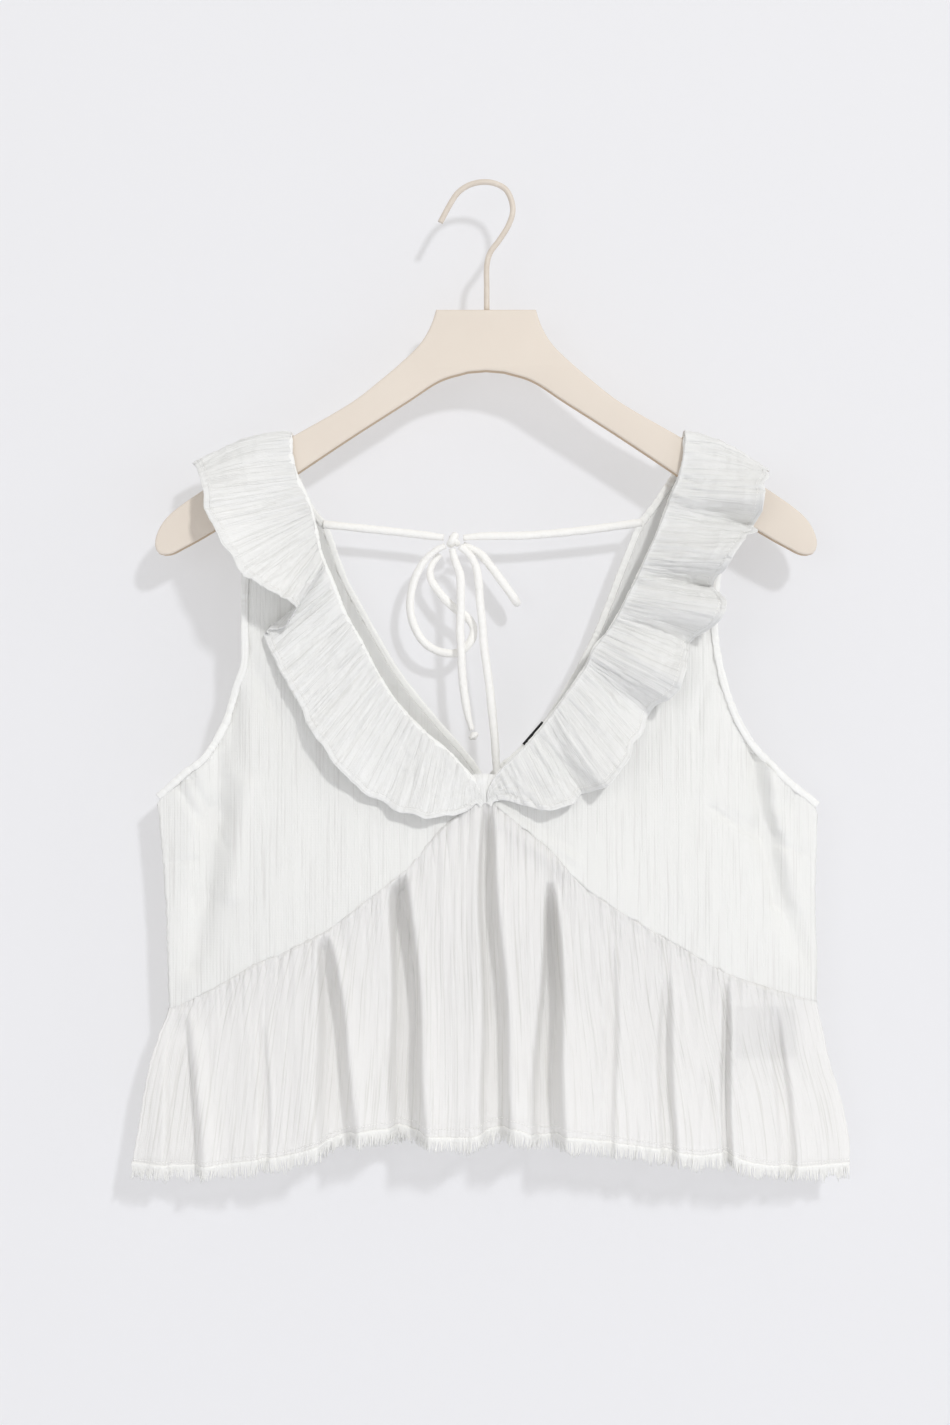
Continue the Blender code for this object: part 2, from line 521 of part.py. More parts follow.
def fringe(name, edge, ends, strands, material):
    """A narrow band under the raw edge with strands standing out of it."""
    line = even(edge, 400)
    run = np.linspace(0, 1, len(line))
    half_strand = 0.55 / np.sum(np.linalg.norm(np.diff(line, axis=0), axis=1))
    centre = (np.arange(strands) + 0.5) / strands
    at = np.sort(np.concatenate([[0.0], centre - half_strand, centre + half_strand, [1.0]]))
    place = np.stack([np.interp(at, run, line[:, k]) for k in range(3)], axis=1)
    along = np.gradient(place, axis=0)
    out = np.stack([along[:, 1], -along[:, 0], np.zeros(len(along))], axis=1)
    out /= np.linalg.norm(out, axis=1)[:, None]
    up = place[:, 2] - SEAM_GAP - 0.3
    high = place * (1, 1, 0) + np.stack([0 * up, 0 * up, up], axis=1)
    low = high - (0, 0, FRINGE_BAND)
    half = out * FRINGE_BAND_THICK / 2
    points = list(high - half) + list(high + half) + list(low + half) + list(low - half)
    count = len(at)
    faces = []
    end = np.asarray(ends, float)
    for i in range(count - 1):
        a, b, c, d = i, i + count, i + 2 * count, i + 3 * count
        faces += [(a, a + 1, b + 1, b), (b, b + 1, c + 1, c), (d, d + 1, a + 1, a)]
        if i % 2 == 0:
            faces.append((c, c + 1, d + 1, d))
            continue
        first = len(points)
        k = i // 2
        sway = 0.9 * math.sin(2.3 * k) + 0.5 * math.sin(5.1 * k + 1)
        for q in (c, c + 1, d + 1, d):
            tip = np.array(points[q])
            middle = (np.array(points[c]) + np.array(points[d + 1])) / 2
            tip = middle + (tip - middle) * 0.75
            tip[0] += sway
            tip[2] = np.interp(middle[0], end[:, 0], end[:, 1]) + 0.6 * abs(math.sin(3.7 * k))
            points.append(tip)
        e, f, g, h = first, first + 1, first + 2, first + 3
        faces += [(c, c + 1, f, e), (c + 1, d + 1, g, f), (d + 1, d, h, g), (d, c, e, h), (e, f, g, h)]
    faces.append((0, count, 2 * count, 3 * count))
    faces.append((count - 1, 2 * count - 1, 3 * count - 1, 4 * count - 1))
    return solid(name, points, faces, material)


def board(material):
    """The hanger board: the half outline mirrored, given its thickness and a worn edge."""
    outline = [row for row in ARM_TOP[1:]] + ARM_TIP + ARM_UNDER[:-1]
    right = even(smooth(outline, 300), 46)
    right[0] = (33, -83.8)
    full = np.concatenate([right, [ARM_UNDER[-1]], right[::-1] * (-1, 1)])
    inset = full.copy()
    closed = np.concatenate([full[-1:], full, full[:1]])
    d = closed[2:] - closed[:-2]
    d /= np.linalg.norm(d, axis=1)[:, None]
    inset = full + np.stack([d[:, 1], -d[:, 0]], axis=1) * HANGER_EDGE * 0.55
    count = len(full)
    points = []
    half = HANGER_THICK / 2
    for y, ring in ((-half, inset), (-half + HANGER_EDGE, full), (half - HANGER_EDGE, full), (half, inset)):
        points += [(x, y, z) for x, z in ring]
    faces = [tuple(range(count)), tuple(range(3 * count, 4 * count))]
    for k in range(3):
        for i in range(count):
            a, b = k * count + i, k * count + (i + 1) % count
            faces.append((a, b, b + count, a + count))
    return solid("hanger", points, faces, material)


def plate(name, spec, depth, thick, material):
    """A flat label from a corner, its way along and its way down."""
    corner, along, down = (np.asarray(v, float) for v in spec)
    u = np.linspace(0, 1, 4)[None, :, None]
    v = np.linspace(0, 1, 3)[:, None, None]
    flat = corner + along * u + down * v
    x, z = flat[:, :, 0], flat[:, :, 1]
    return wall(name, np.stack([x, depth(x, z), z], axis=2), thick, material)


def main():
    for thing in list(bpy.data.objects):
        bpy.data.objects.remove(thing, do_unlink=True)
    gauze = look("white_gauze", (0.82, 0.82, 0.81), 0.9)
    lining = look("white_gauze_back", (0.79, 0.79, 0.78), 0.9)
    frill = look("ruffle_gauze", (0.84, 0.84, 0.83), 0.9)
    strip = look("bound_edge", (0.85, 0.85, 0.83), 0.9)
    thread = look("frayed_thread", (0.83, 0.82, 0.8), 0.95)
    rouleau = look("rouleau_tie", (0.86, 0.85, 0.83), 0.85)
    beige = look("hanger_board", (0.80, 0.73, 0.64), 0.6)
    wire = look("coated_wire", (0.76, 0.69, 0.60), 0.45)
    black = look("black_label", (0.02, 0.02, 0.02), 0.8)
    pale = look("care_label_cloth", (0.72, 0.75, 0.78), 0.8)

    board(beige)
    cord("hanger_hook", [(x, 0, z) for x, z in HOOK], HOOK_WIRE, wire, 1.3)
    names = {-1: "left", 1: "right"}
    fronts, backs = [], []
    for side, word in names.items():
        front, back = panel(side, False, 12, 18), panel(side, True, 9, 15)
        fronts.append(front)
        backs.append(back)
        wall("front_bodice_" + word, front, CLOTH, gauze)
        wall("back_bodice_" + word, back, CLOTH, lining)
        wall("ruffle_" + word, ruffle(side, 1.5, 5), FRILL, frill)
        edge_band("neck_binding_" + word, front, back, 0, strip)
        edge_band("armhole_binding_" + word, front, back, -1, strip)
    front = skirt(fronts[0], fronts[1], False, 54, 8)
    back = skirt(backs[0], backs[1], True, 36, 6)
    wall("front_peplum", front, CLOTH, gauze)
    wall("back_peplum", back, CLOTH, lining)
    fringe("fringe_front", front[-1], FRINGE_END_FRONT, FRONT_STRANDS, thread)
    fringe("fringe_back", back[-1], FRINGE_END_BACK, BACK_STRANDS, thread)
    for name, points in CORDS.items():
        cord(name, points, CORD, rouleau, 2.0 if name.startswith("tie") else 1.6)
    for name, spec in KNOTS.items():
        knot(name, spec, rouleau)
    plate("care_label", CARE_LABEL, lambda x, z: 0.6 + (x - 190) * 0.045, 0.8, pale)
    plate("neck_label", NECK_LABEL, lambda x, z: body(x, z, True) - 1.5, 0.8, black)


main()
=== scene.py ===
import math

import bmesh
import bpy
import numpy as np

from mathutils import Matrix


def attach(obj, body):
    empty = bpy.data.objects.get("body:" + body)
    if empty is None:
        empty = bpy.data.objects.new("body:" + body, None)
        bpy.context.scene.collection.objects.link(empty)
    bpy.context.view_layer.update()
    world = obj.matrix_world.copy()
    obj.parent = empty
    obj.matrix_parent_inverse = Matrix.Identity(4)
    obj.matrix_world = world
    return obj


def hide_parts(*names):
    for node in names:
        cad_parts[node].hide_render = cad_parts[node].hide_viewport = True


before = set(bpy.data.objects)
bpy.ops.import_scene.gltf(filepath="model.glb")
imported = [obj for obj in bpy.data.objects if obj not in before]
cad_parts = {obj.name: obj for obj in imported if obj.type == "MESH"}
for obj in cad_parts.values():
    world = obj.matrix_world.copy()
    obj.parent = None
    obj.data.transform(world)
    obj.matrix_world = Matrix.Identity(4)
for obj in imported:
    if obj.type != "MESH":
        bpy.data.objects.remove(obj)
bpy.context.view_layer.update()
mm = 0.001
fine = 1.0
bothSides = (-1, "left"), (1, "right")   # as seen from the front
print("frame loaded", len(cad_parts), "nodes")


# ---- camera, level with the middle of the picture

camera = {"place": (-0.0073, -1.6, -0.3508), "lens": 60.8, "sensor": 36, "nearest": 0.05}


def intoScene(name, data, place=(0, 0, 0), turn=(0, 0, 0)):
    thing = bpy.data.objects.new(name, data)
    thing.location = place
    thing.rotation_euler = turn
    bpy.context.scene.collection.objects.link(thing)
    return thing


cameraData = bpy.data.cameras.new("viewCamera")
cameraData.lens = camera["lens"]
cameraData.sensor_width = camera["sensor"]
cameraData.clip_start = camera["nearest"]
bpy.context.scene.camera = intoScene("viewCamera", cameraData, camera["place"], (math.radians(90), 0, 0))


# ---- lines and noise

def steps(points):
    return np.linalg.norm(np.diff(np.asarray(points, float), axis=0), axis=1)


def lengthOf(points):
    return float(np.sum(steps(points)))


def walked(lengths):
    return np.concatenate([[0.0], np.cumsum(lengths)])


def readAt(at, run, rows):   # a line's rows at other places along it
    return np.stack([np.interp(at, run, column) for column in rows.T], axis=1)


def evenly(points, count):
    run = walked(steps(points))
    return readAt(np.linspace(0.0, run[-1], count), run, np.asarray(points, float))


def throughPoints(p, t, fineT):   # a smooth curve through p at t, read at fineT
    slope = np.gradient(p, t, axis=0)
    k = np.clip(np.searchsorted(t, fineT, side="right") - 1, 0, len(p) - 2)
    h = (t[k + 1] - t[k])[:, None]
    s = (fineT - t[k])[:, None] / h
    made = (2 * s**3 - 3 * s**2 + 1) * p[k] + (s**3 - 2 * s**2 + s) * h * slope[k]
    return made + (3 * s**2 - 2 * s**3) * p[k + 1] + (s**3 - s**2) * h * slope[k + 1]


def smoothLine(points, count):
    p = np.asarray(points, float)
    t = walked(np.sqrt(steps(p)))
    return evenly(throughPoints(p, t, np.linspace(0.0, t[-1], 14 * (len(p) - 1) + 1)), count)


def unit(v):
    return v / np.maximum(np.linalg.norm(v, axis=-1, keepdims=True), 1e-9)


def wayAlong(path):
    return unit(np.gradient(path, axis=0))


def squareTo(along, v):   # v turned square to the way along a line
    return unit(v - along * np.sum(v * along, axis=-1, keepdims=True))


def sideways(curve, distance):   # plus is to the left of the walk
    d = wayAlong(curve)
    return curve + np.stack([-d[:, 1], d[:, 0]], axis=1) * distance


def readTable(table, at, index):
    rows = np.asarray(table, float)
    return np.interp(-np.asarray(at, float), -rows[:, 0], rows[:, index])


def noise(u, v, seed):   # smooth value noise, 0 to 1
    table = np.random.default_rng(seed).random((128, 128))
    u, v = np.broadcast_arrays(np.asarray(u, float), np.asarray(v, float))
    iu, iv = np.floor(u).astype(int), np.floor(v).astype(int)
    fu, fv = u - iu, v - iv
    fu, fv = fu * fu * (3 - 2 * fu), fv * fv * (3 - 2 * fv)
    a, b = table[iu % 128, iv % 128], table[(iu + 1) % 128, iv % 128]
    c, d = table[iu % 128, (iv + 1) % 128], table[(iu + 1) % 128, (iv + 1) % 128]
    return (a * (1 - fu) + b * fu) * (1 - fv) + (c * (1 - fu) + d * fu) * fv


def wobble(u, seed):   # noise along a line, -0.5 to 0.5
    return noise(u, 0, seed) - 0.5


def crinkle(u, v, wide, tall, seed):   # long uneven ridges along v, -1 to 1, both in millimetres
    drift = (noise(u / (wide * 5), v / (tall * 0.7), seed + 1) - 0.5) * 2.2
    broad = noise(u / wide + drift, v / tall, seed) * 2 - 1
    narrow = noise(u / (wide * 0.43) + drift * 1.7, v / (tall * 0.5), seed + 2) * 2 - 1
    ridge = 1 - 2 * np.abs(narrow) ** 0.7
    return 0.62 * broad + 0.38 * ridge * (0.4 + 0.6 * noise(u / (wide * 2), v / tall, seed + 3))


def gathers(u, v, wide, tall, seed):   # round tops with narrow slits between, 0 down to -1
    drift = (noise(u / (wide * 4), v / (tall * 0.8), seed + 1) - 0.5) * 1.6
    slit = 1 - np.abs(noise(u / wide + drift, v / tall, seed) * 2 - 1) ** 0.55
    return -slit * (0.45 + 0.55 * noise(u / (wide * 1.7), v / (tall * 0.6), seed + 2))


def ramp(x, low, high):
    t = np.clip((x - low) / (high - low), 0, 1)
    return t * t * (3 - 2 * t)


def hump(t):   # 1 at 0, falling off smoothly on both sides
    return np.exp(-(t**2))


# ---- meshes from a bmesh grid moved into place

def wayOut(points):   # unit normals of a grid of points
    return unit(np.cross(np.gradient(points, axis=0), np.gradient(points, axis=1)))


def meshFrom(bm, name):
    mesh = bpy.data.meshes.new(name)
    bm.to_mesh(mesh)
    bm.free()
    return mesh


def gridShape(name, points, uv):
    rows, cols = points.shape[:2]
    bm = bmesh.new()
    bmesh.ops.create_grid(bm, x_segments=cols - 1, y_segments=rows - 1, size=1.0)
    mesh = meshFrom(bm, name)
    flat = np.empty(len(mesh.vertices) * 3)
    mesh.vertices.foreach_get("co", flat)
    flat = flat.reshape(-1, 3)
    flat = (flat - flat.min(axis=0)) / np.maximum(flat.max(axis=0) - flat.min(axis=0), 1e-9)
    j, i = np.rint(flat[:, 0] * (cols - 1)).astype(int), np.rint(flat[:, 1] * (rows - 1)).astype(int)
    mesh.vertices.foreach_set("co", (points[i, j] * mm).ravel())
    corner = np.empty(len(mesh.loops), dtype=np.int32)
    mesh.loops.foreach_get("vertex_index", corner)
    layer = mesh.uv_layers.new(name="cloth")
    layer.data.foreach_set("uv", (uv[i, j][corner] * mm).ravel())
    mesh.update()
    return mesh


def addPiece(name, mesh, material, nodes=()):
    mesh.materials.append(material)
    mesh.polygons.foreach_set("use_smooth", [True] * len(mesh.polygons))
    piece = intoScene(name, mesh)
    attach(piece, "root")
    if nodes:
        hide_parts(*nodes)
    return piece


def giveWall(piece, thick):
    wall = piece.modifiers.new("wall", "SOLIDIFY")
    wall.thickness = thick * mm
    wall.offset = 0
    return piece


def walkUv(points):   # millimetres across and along, measured on the middle lines
    rows, cols = points.shape[:2]
    return np.stack(np.meshgrid(walked(steps(points[rows // 2])), walked(steps(points[:, cols // 2]))), axis=2)


def clothPiece(name, points, material, thick, nodes=(), uv=None):
    mesh = gridShape(name, points, walkUv(points) if uv is None else uv)
    return giveWall(addPiece(name, mesh, material, nodes), thick)


def tubePiece(name, path, across, out, wide, thick, material, nodes=(), sides=12, power=1.0):
    turn = np.linspace(0, 2 * math.pi, sides + 1)
    c, s = (np.sign(w) * np.abs(w) ** power for w in (np.cos(turn), np.sin(turn)))
    wide, thick = (np.broadcast_to(size, (len(path),))[:, None, None] for size in (wide, thick))
    points = path[:, None] + across[:, None] * c[None, :, None] * wide / 2
    points = points + out[:, None] * s[None, :, None] * thick / 2
    mesh = gridShape(name, points, walkUv(points))
    bm = bmesh.new()
    bm.from_mesh(mesh)
    bmesh.ops.remove_doubles(bm, verts=bm.verts, dist=1e-6)
    bmesh.ops.holes_fill(bm, edges=[e for e in bm.edges if e.is_boundary], sides=sides + 2)
    bmesh.ops.recalc_face_normals(bm, faces=bm.faces)
    bm.to_mesh(mesh)
    bm.free()
    return addPiece(name, mesh, material, nodes)


def roundFrames(path):   # two steady directions square to a path
    along = wayAlong(path)
    first = np.zeros_like(path)
    guide = np.array([0.0, 1.0, 0.0])
    for k, d in enumerate(along):
        guide = squareTo(d, guide)
        first[k] = guide
    return first, np.cross(along, first)


# ---- materials

def linear(code):   # an sRGB hex value as linear light
    parts = [int(code[k:k + 2], 16) / 255 for k in (1, 3, 5)]
    return tuple(p / 12.92 if p <= 0.04045 else ((p + 0.055) / 1.055) ** 2.4 for p in parts) + (1.0,)


def setSockets(tree, node, links):   # another node's socket is linked, anything else is set
    for name, value in links.items():
        if isinstance(value, bpy.types.NodeSocket):
            tree.links.new(value, node.inputs[name])
        else:
            node.inputs[name].default_value = value


def addNode(tree, kind, give, links=None, **settings):   # adds a node and gives back one of its outputs
    node = tree.nodes.new("ShaderNode" + kind)
    for name, value in settings.items():
        setattr(node, name, value)
    setSockets(tree, node, links or {})
    return node.outputs[give]


def newMaterial(name, plain, **numbers):
    made = bpy.data.materials.new(name)
    made.use_nodes = True
    made.diffuse_color = linear(plain)
    tree = made.node_tree
    shader = tree.nodes["Principled BSDF"]
    setSockets(tree, shader, {socket.replace("_", " "): value for socket, value in numbers.items()})
    return made, tree, shader


def finishLook(made, pale, shade, pattern, reliefs=(), gloss=None):   # two tones by a pattern, relief over relief
    tree = made.node_tree
    looks = {"Base Color": addNode(tree, "Mix", 2, {"Factor": pattern, 6: linear(shade), 7: linear(pale)},
                                   data_type="RGBA")}
    if gloss:
        looks["Roughness"] = addNode(tree, "MapRange", "Result",
                                     {"Value": pattern, "To Min": gloss[0], "To Max": gloss[1]})
    for height, deep, strength in reliefs:
        below = {"Normal": looks["Normal"]} if "Normal" in looks else {}
        looks["Normal"] = addNode(tree, "Bump", "Normal",
                                  {"Height": height, "Distance": deep * mm, "Strength": strength, **below})
    setSockets(tree, tree.nodes["Principled BSDF"], looks)
    return made


def crinkleGauze(name, pale, shade, crinkleWide=1.3, crinkleDeep=0.3, alpha=1.0):
    # crinkled cotton gauze: open plain weave set in fine lengthwise creases, dry and matt, slightly see-through
    made, tree, shader = newMaterial(name, pale, Roughness=0.92, Sheen_Weight=0.12, Sheen_Roughness=0.6, Alpha=alpha)
    uv = addNode(tree, "UVMap", "UV", uv_map="cloth")
    lengthwise = addNode(tree, "Mapping", "Vector", {"Vector": uv, "Scale": (1.0, 0.016, 1.0)})
    creases = addNode(tree, "TexNoise", "Fac", {"Vector": lengthwise, "Scale": 1000 / crinkleWide, "Detail": 2.5,
                                                "Roughness": 0.55, "Distortion": 0.15})
    halfBand = 0.9   # real threads stand 0.45 mm apart, drawn 1.8 mm apart so that they show
    band = {"Vector": uv, "Scale": 159 / halfBand, "Distortion": 1.2, "Detail": 1.0}
    weft, warp = (addNode(tree, "TexWave", "Fac", band, bands_direction=way) for way in "YX")
    weave = addNode(tree, "Math", 0, {0: weft, 1: warp}, operation="MULTIPLY")
    # painted shade: the crease valleys, low in the crease bumps, take the darker tone
    creaseShade = addNode(tree, "MapRange", "Result", {"Value": creases, "From Min": 0.34, "From Max": 0.44})
    return finishLook(made, pale, shade, creaseShade, [(creases, crinkleDeep, 1.0), (weave, 0.06, 0.8)])


def rouleauCloth(name, pale, shade):
    # the same gauze cut on the bias and turned: smoother, with a slanting weave and short puckers
    made, tree, shader = newMaterial(name, pale, Roughness=0.85, Sheen_Weight=0.15)
    place = addNode(tree, "TexCoord", "Object")
    puckers = addNode(tree, "TexNoise", "Fac", {"Vector": place, "Scale": 420.0, "Detail": 3.0})
    turned = addNode(tree, "Mapping", "Vector", {"Vector": place, "Rotation": (0, 0.785, 0)})
    weave = addNode(tree, "TexWave", "Fac", {"Vector": turned, "Scale": 190.0, "Distortion": 1.5})
    # painted shade: the pucker hollows, low in the pucker bumps, take the darker tone
    return finishLook(made, pale, shade, puckers, [(puckers, 0.5, 0.7), (weave, 0.06, 0.6)])


def looseThread(name, pale, shade="#EEEDE9"):
    # spun cotton ends, teased out of the weave: matt and slightly uneven
    made, tree, shader = newMaterial(name, pale, Roughness=0.95, Sheen_Weight=0.1)
    place = addNode(tree, "TexCoord", "Object")
    fluff = addNode(tree, "TexNoise", "Fac", {"Vector": place, "Scale": 900.0, "Detail": 2.0})
    return finishLook(made, pale, shade, fluff)


def coatedBoard(name, pale, shade):
    # moulded board with a soft-touch coat: even warm beige, very fine speckle, barely any gloss
    made, tree, shader = newMaterial(name, pale, Roughness=0.62, Specular_IOR_Level=0.35)
    place = addNode(tree, "TexCoord", "Object")
    cloud = addNode(tree, "TexNoise", "Fac", {"Vector": place, "Scale": 26.0, "Detail": 5.0})
    grit = addNode(tree, "TexNoise", "Fac", {"Vector": place, "Scale": 1400.0, "Detail": 2.0})
    return finishLook(made, pale, shade, cloud, [(grit, 0.05, 0.5)], gloss=(0.56, 0.68))


def dippedWire(name, pale, shade):
    # steel wire dipped in the same beige coat: smoother and a little glossier than the board
    made, tree, shader = newMaterial(name, pale, Roughness=0.42)
    place = addNode(tree, "TexCoord", "Object")
    flow = addNode(tree, "TexNoise", "Fac", {"Vector": place, "Scale": 180.0, "Detail": 3.0})
    return finishLook(made, pale, shade, flow, gloss=(0.34, 0.52))


def wovenLabel(name, pale, shade, rough):
    # damask label tape: close diagonal ribs
    made, tree, shader = newMaterial(name, pale, Roughness=rough)
    uv = addNode(tree, "UVMap", "UV", uv_map="cloth")
    turned = addNode(tree, "Mapping", "Vector", {"Vector": uv, "Rotation": (0, 0, 0.785)})
    ribs = addNode(tree, "TexWave", "Fac", {"Vector": turned, "Scale": 400.0})
    # painted shade: the rib grooves, low in the rib bumps, take the darker tone
    return finishLook(made, pale, shade, ribs, [(ribs, 0.08, 0.6)])


panelGauze = crinkleGauze("crinkleGauzePanel", "#F9F9F6", "#EFEEEB", crinkleDeep=0.6, alpha=0.79)
# the skirt's gauze is painted paler than the panels': painted light, for its brighter lit look
skirtGauze = crinkleGauze("crinkleGauzeSkirt", "#FEFDFB", "#F1F0EC", crinkleWide=1.5, crinkleDeep=0.85, alpha=0.63)
# the back's gauze is painted paler and flatter than the front's: painted light on the back panels' shaded inner faces
backGauze = crinkleGauze("crinkleGauzeBack", "#FCFCFA", "#F6F6F3", alpha=0.58)
ruffleGauze = crinkleGauze("crinkleGauzeRuffle", "#FBFBF9", "#EFEFEC", crinkleWide=1.2, crinkleDeep=0.85, alpha=0.8)
bindingGauze = crinkleGauze("crinkleGauzeBinding", "#FAFAF7", "#EFEEEA", crinkleWide=2.0, crinkleDeep=0.5, alpha=0.92)
rouleau = rouleauCloth("biasRouleau", "#FAFAF7", "#F2F0EC")
threadEnds = looseThread("frayedCotton", "#FBFBF8")
boardCoat = coatedBoard("softTouchBoard", "#E5DBCE", "#DFD4C7")
wireCoat = dippedWire("dippedSteelWire", "#E2D9CD", "#CFC3B4")
blackTape = wovenLabel("blackDamaskTape", "#17171A", "#0D0D10", 0.7)
# the care tape's dark blue-grey is painted shade, darker than the tape's own colour, for the grey patch it makes
# behind the cloth
careTapeInShade = wovenLabel("careSatinTapePaintedShade", "#333B47", "#2C333E", 0.5)
print("materials made")


# ---- cords first: rouleau ties and the bow across the open back

bow = {   # routes in metres, the rest in millimetres
    "diameter": 5.6, "step": 1.1,
    "routes": {
        "tie_left": [
            (-0.109, 0.0092, -0.2249), (-0.08, 0.0104, -0.2278), (-0.052, 0.011, -0.2308), (-0.0282, 0.011, -0.2337),
        ],
        "tie_right": [
            (0.1042, 0.0092, -0.2238), (0.064, 0.0104, -0.229), (0.028, 0.011, -0.2322), (-0.004, 0.011, -0.2328),
            (-0.0152, 0.011, -0.2338),
        ],
        "bow_loop_left": [
            (-0.0274, 0.008, -0.2394), (-0.034, 0.009, -0.2428), (-0.0416, 0.01, -0.2501), (-0.0482, 0.0106, -0.2633),
            (-0.0508, 0.011, -0.2792), (-0.0482, 0.0114, -0.2924), (-0.0409, 0.0118, -0.3043),
            (-0.0304, 0.012, -0.3102), (-0.0185, 0.0122, -0.3105), (-0.0098, 0.0126, -0.3022),
            (-0.0084, 0.0132, -0.2937), (-0.0132, 0.014, -0.2864), (-0.021, 0.0148, -0.281),
            (-0.0304, 0.0156, -0.2713), (-0.037, 0.0162, -0.2607), (-0.0366, 0.0164, -0.2528),
            (-0.031, 0.016, -0.2444),
        ],
        "bow_loop_right": [
            (-0.0156, 0.0094, -0.2394), (-0.0044, 0.011, -0.244), (0.0026, 0.0112, -0.252), (0.0119, 0.0114, -0.2644),
            (0.0196, 0.012, -0.2752), (0.0208, 0.0146, -0.2776), (0.019, 0.0174, -0.2744), (0.011, 0.0184, -0.2632),
            (0.0016, 0.0182, -0.2506), (-0.006, 0.0174, -0.2426), (-0.0152, 0.0158, -0.238),
        ],
        "tie_tail_long": [
            (-0.0226, 0.0054, -0.2418), (-0.0205, 0.0042, -0.25), (-0.0172, 0.0034, -0.2594),
            (-0.0168, 0.0032, -0.27), (-0.0168, 0.0032, -0.2845), (-0.0172, 0.0034, -0.295),
            (-0.0165, 0.0036, -0.3095), (-0.0158, 0.004, -0.324), (-0.0145, 0.0044, -0.3373),
            (-0.0119, 0.0048, -0.353), (-0.0093, 0.0051, -0.3625),
        ],
        "tie_tail_short": [
            (-0.0174, 0.004, -0.2402), (-0.0106, 0.0034, -0.246), (-0.0066, 0.0032, -0.254),
            (-0.0046, 0.0032, -0.266), (-0.004, 0.0034, -0.2765), (-0.0024, 0.0034, -0.291),
            (-0.0014, 0.0036, -0.305), (0.0004, 0.0038, -0.319), (0.0024, 0.004, -0.3333), (0.0042, 0.004, -0.3505),
            (0.0059, 0.004, -0.369), (0.0068, 0.004, -0.386), (0.0072, 0.004, -0.399),
        ],
    },
    # how wide each cord is at its start and end beside its middle, as the pull flattens it
    "narrowing": {
        "tie_left": (1.0, 0.8), "tie_right": (1.0, 0.7), "bow_loop_left": (0.75, 0.75),
        "bow_loop_right": (0.75, 0.75), "tie_tail_long": (0.85, 0.66), "tie_tail_short": (0.85, 0.72),
    },
    "knot": (-22.2, 9.8, -235.4),
    "tailKnots": {"tail_end_knot": (-8.2, 5.2, -366.4), "tail_end_knot_hidden": (7.3, 4.0, -403.2)},
    # each turn of cord in a knot: thickness, radii, tilt
    "wrap": (5.2, (3.6, 3.4), 0.5), "turn": (4.4, (2.9, 3.0), -0.75), "turnShift": (1.2, 0.6, -0.4),
    "tailTurn": (3.4, (2.1, 1.9), 1.0), "tailCore": (3.6, (1.3, 1.2), -0.4),
}


def rouleauTube(name, route, narrow, seed):
    path = np.asarray(route) / mm
    path = smoothLine(path, max(24, int(lengthOf(path) / bow["step"] * fine)))
    s = np.linspace(0, 1, len(path))
    run = s * lengthOf(path)
    pull = narrow[0] + (1 - narrow[0]) * ramp(s, 0, 0.16)
    pull = pull * (narrow[1] + (1 - narrow[1]) * ramp(1 - s, 0, 0.16))
    puckers = 1 + 0.09 * wobble(run / 3.1, seed) + 0.05 * wobble(run / 1.4, seed + 1)
    size = bow["diameter"] * pull * puckers
    first, second = roundFrames(path)
    twist = 0.5 * np.sin(run / 34.0 + seed)[:, None]
    across = first * np.sin(twist) + second * np.cos(twist)
    out = first * np.cos(twist) - second * np.sin(twist)
    piece = tubePiece(name + "_rouleau", path, across, out, size, size * 0.9, rouleau, [name], sides=14)
    return piece, path


def wrapRing(name, middle, size, ring, tilt, nodes=()):   # a closed turn of cord that makes a knot
    turn = np.linspace(0, 2 * math.pi, 34)
    x, z = (np.cos(turn) * lean * ring[0] for lean in (math.sin(tilt), math.cos(tilt)))
    path = np.stack([x, np.sin(turn) * ring[1], z], axis=1) + middle
    inward = unit(np.asarray(middle) - path)
    along = np.gradient(path, axis=0)
    along[0] = along[-1] = path[1] - path[-2]
    return tubePiece(name, path, np.cross(unit(along), inward), inward, size, size * 0.8, rouleau, nodes)


cordPaths = {}
cordPieces = {}
for number, (name, route) in enumerate(bow["routes"].items()):
    cordPieces[name], cordPaths[name] = rouleauTube(name, route, bow["narrowing"][name], 40 + number * 7)
knotPieces = [
    wrapRing("bow_knot_wrap", bow["knot"], *bow["wrap"], ["bow_knot"]),
    wrapRing("bow_knot_turn", np.add(bow["knot"], bow["turnShift"]), *bow["turn"]),
]
for name, middle in bow["tailKnots"].items():
    wrapRing(name + "_turn", middle, *bow["tailTurn"], [name])
    wrapRing(name + "_core", middle, *bow["tailCore"])
print("ties and bow made")


# ---- the body's form, shared by every panel, in millimetres

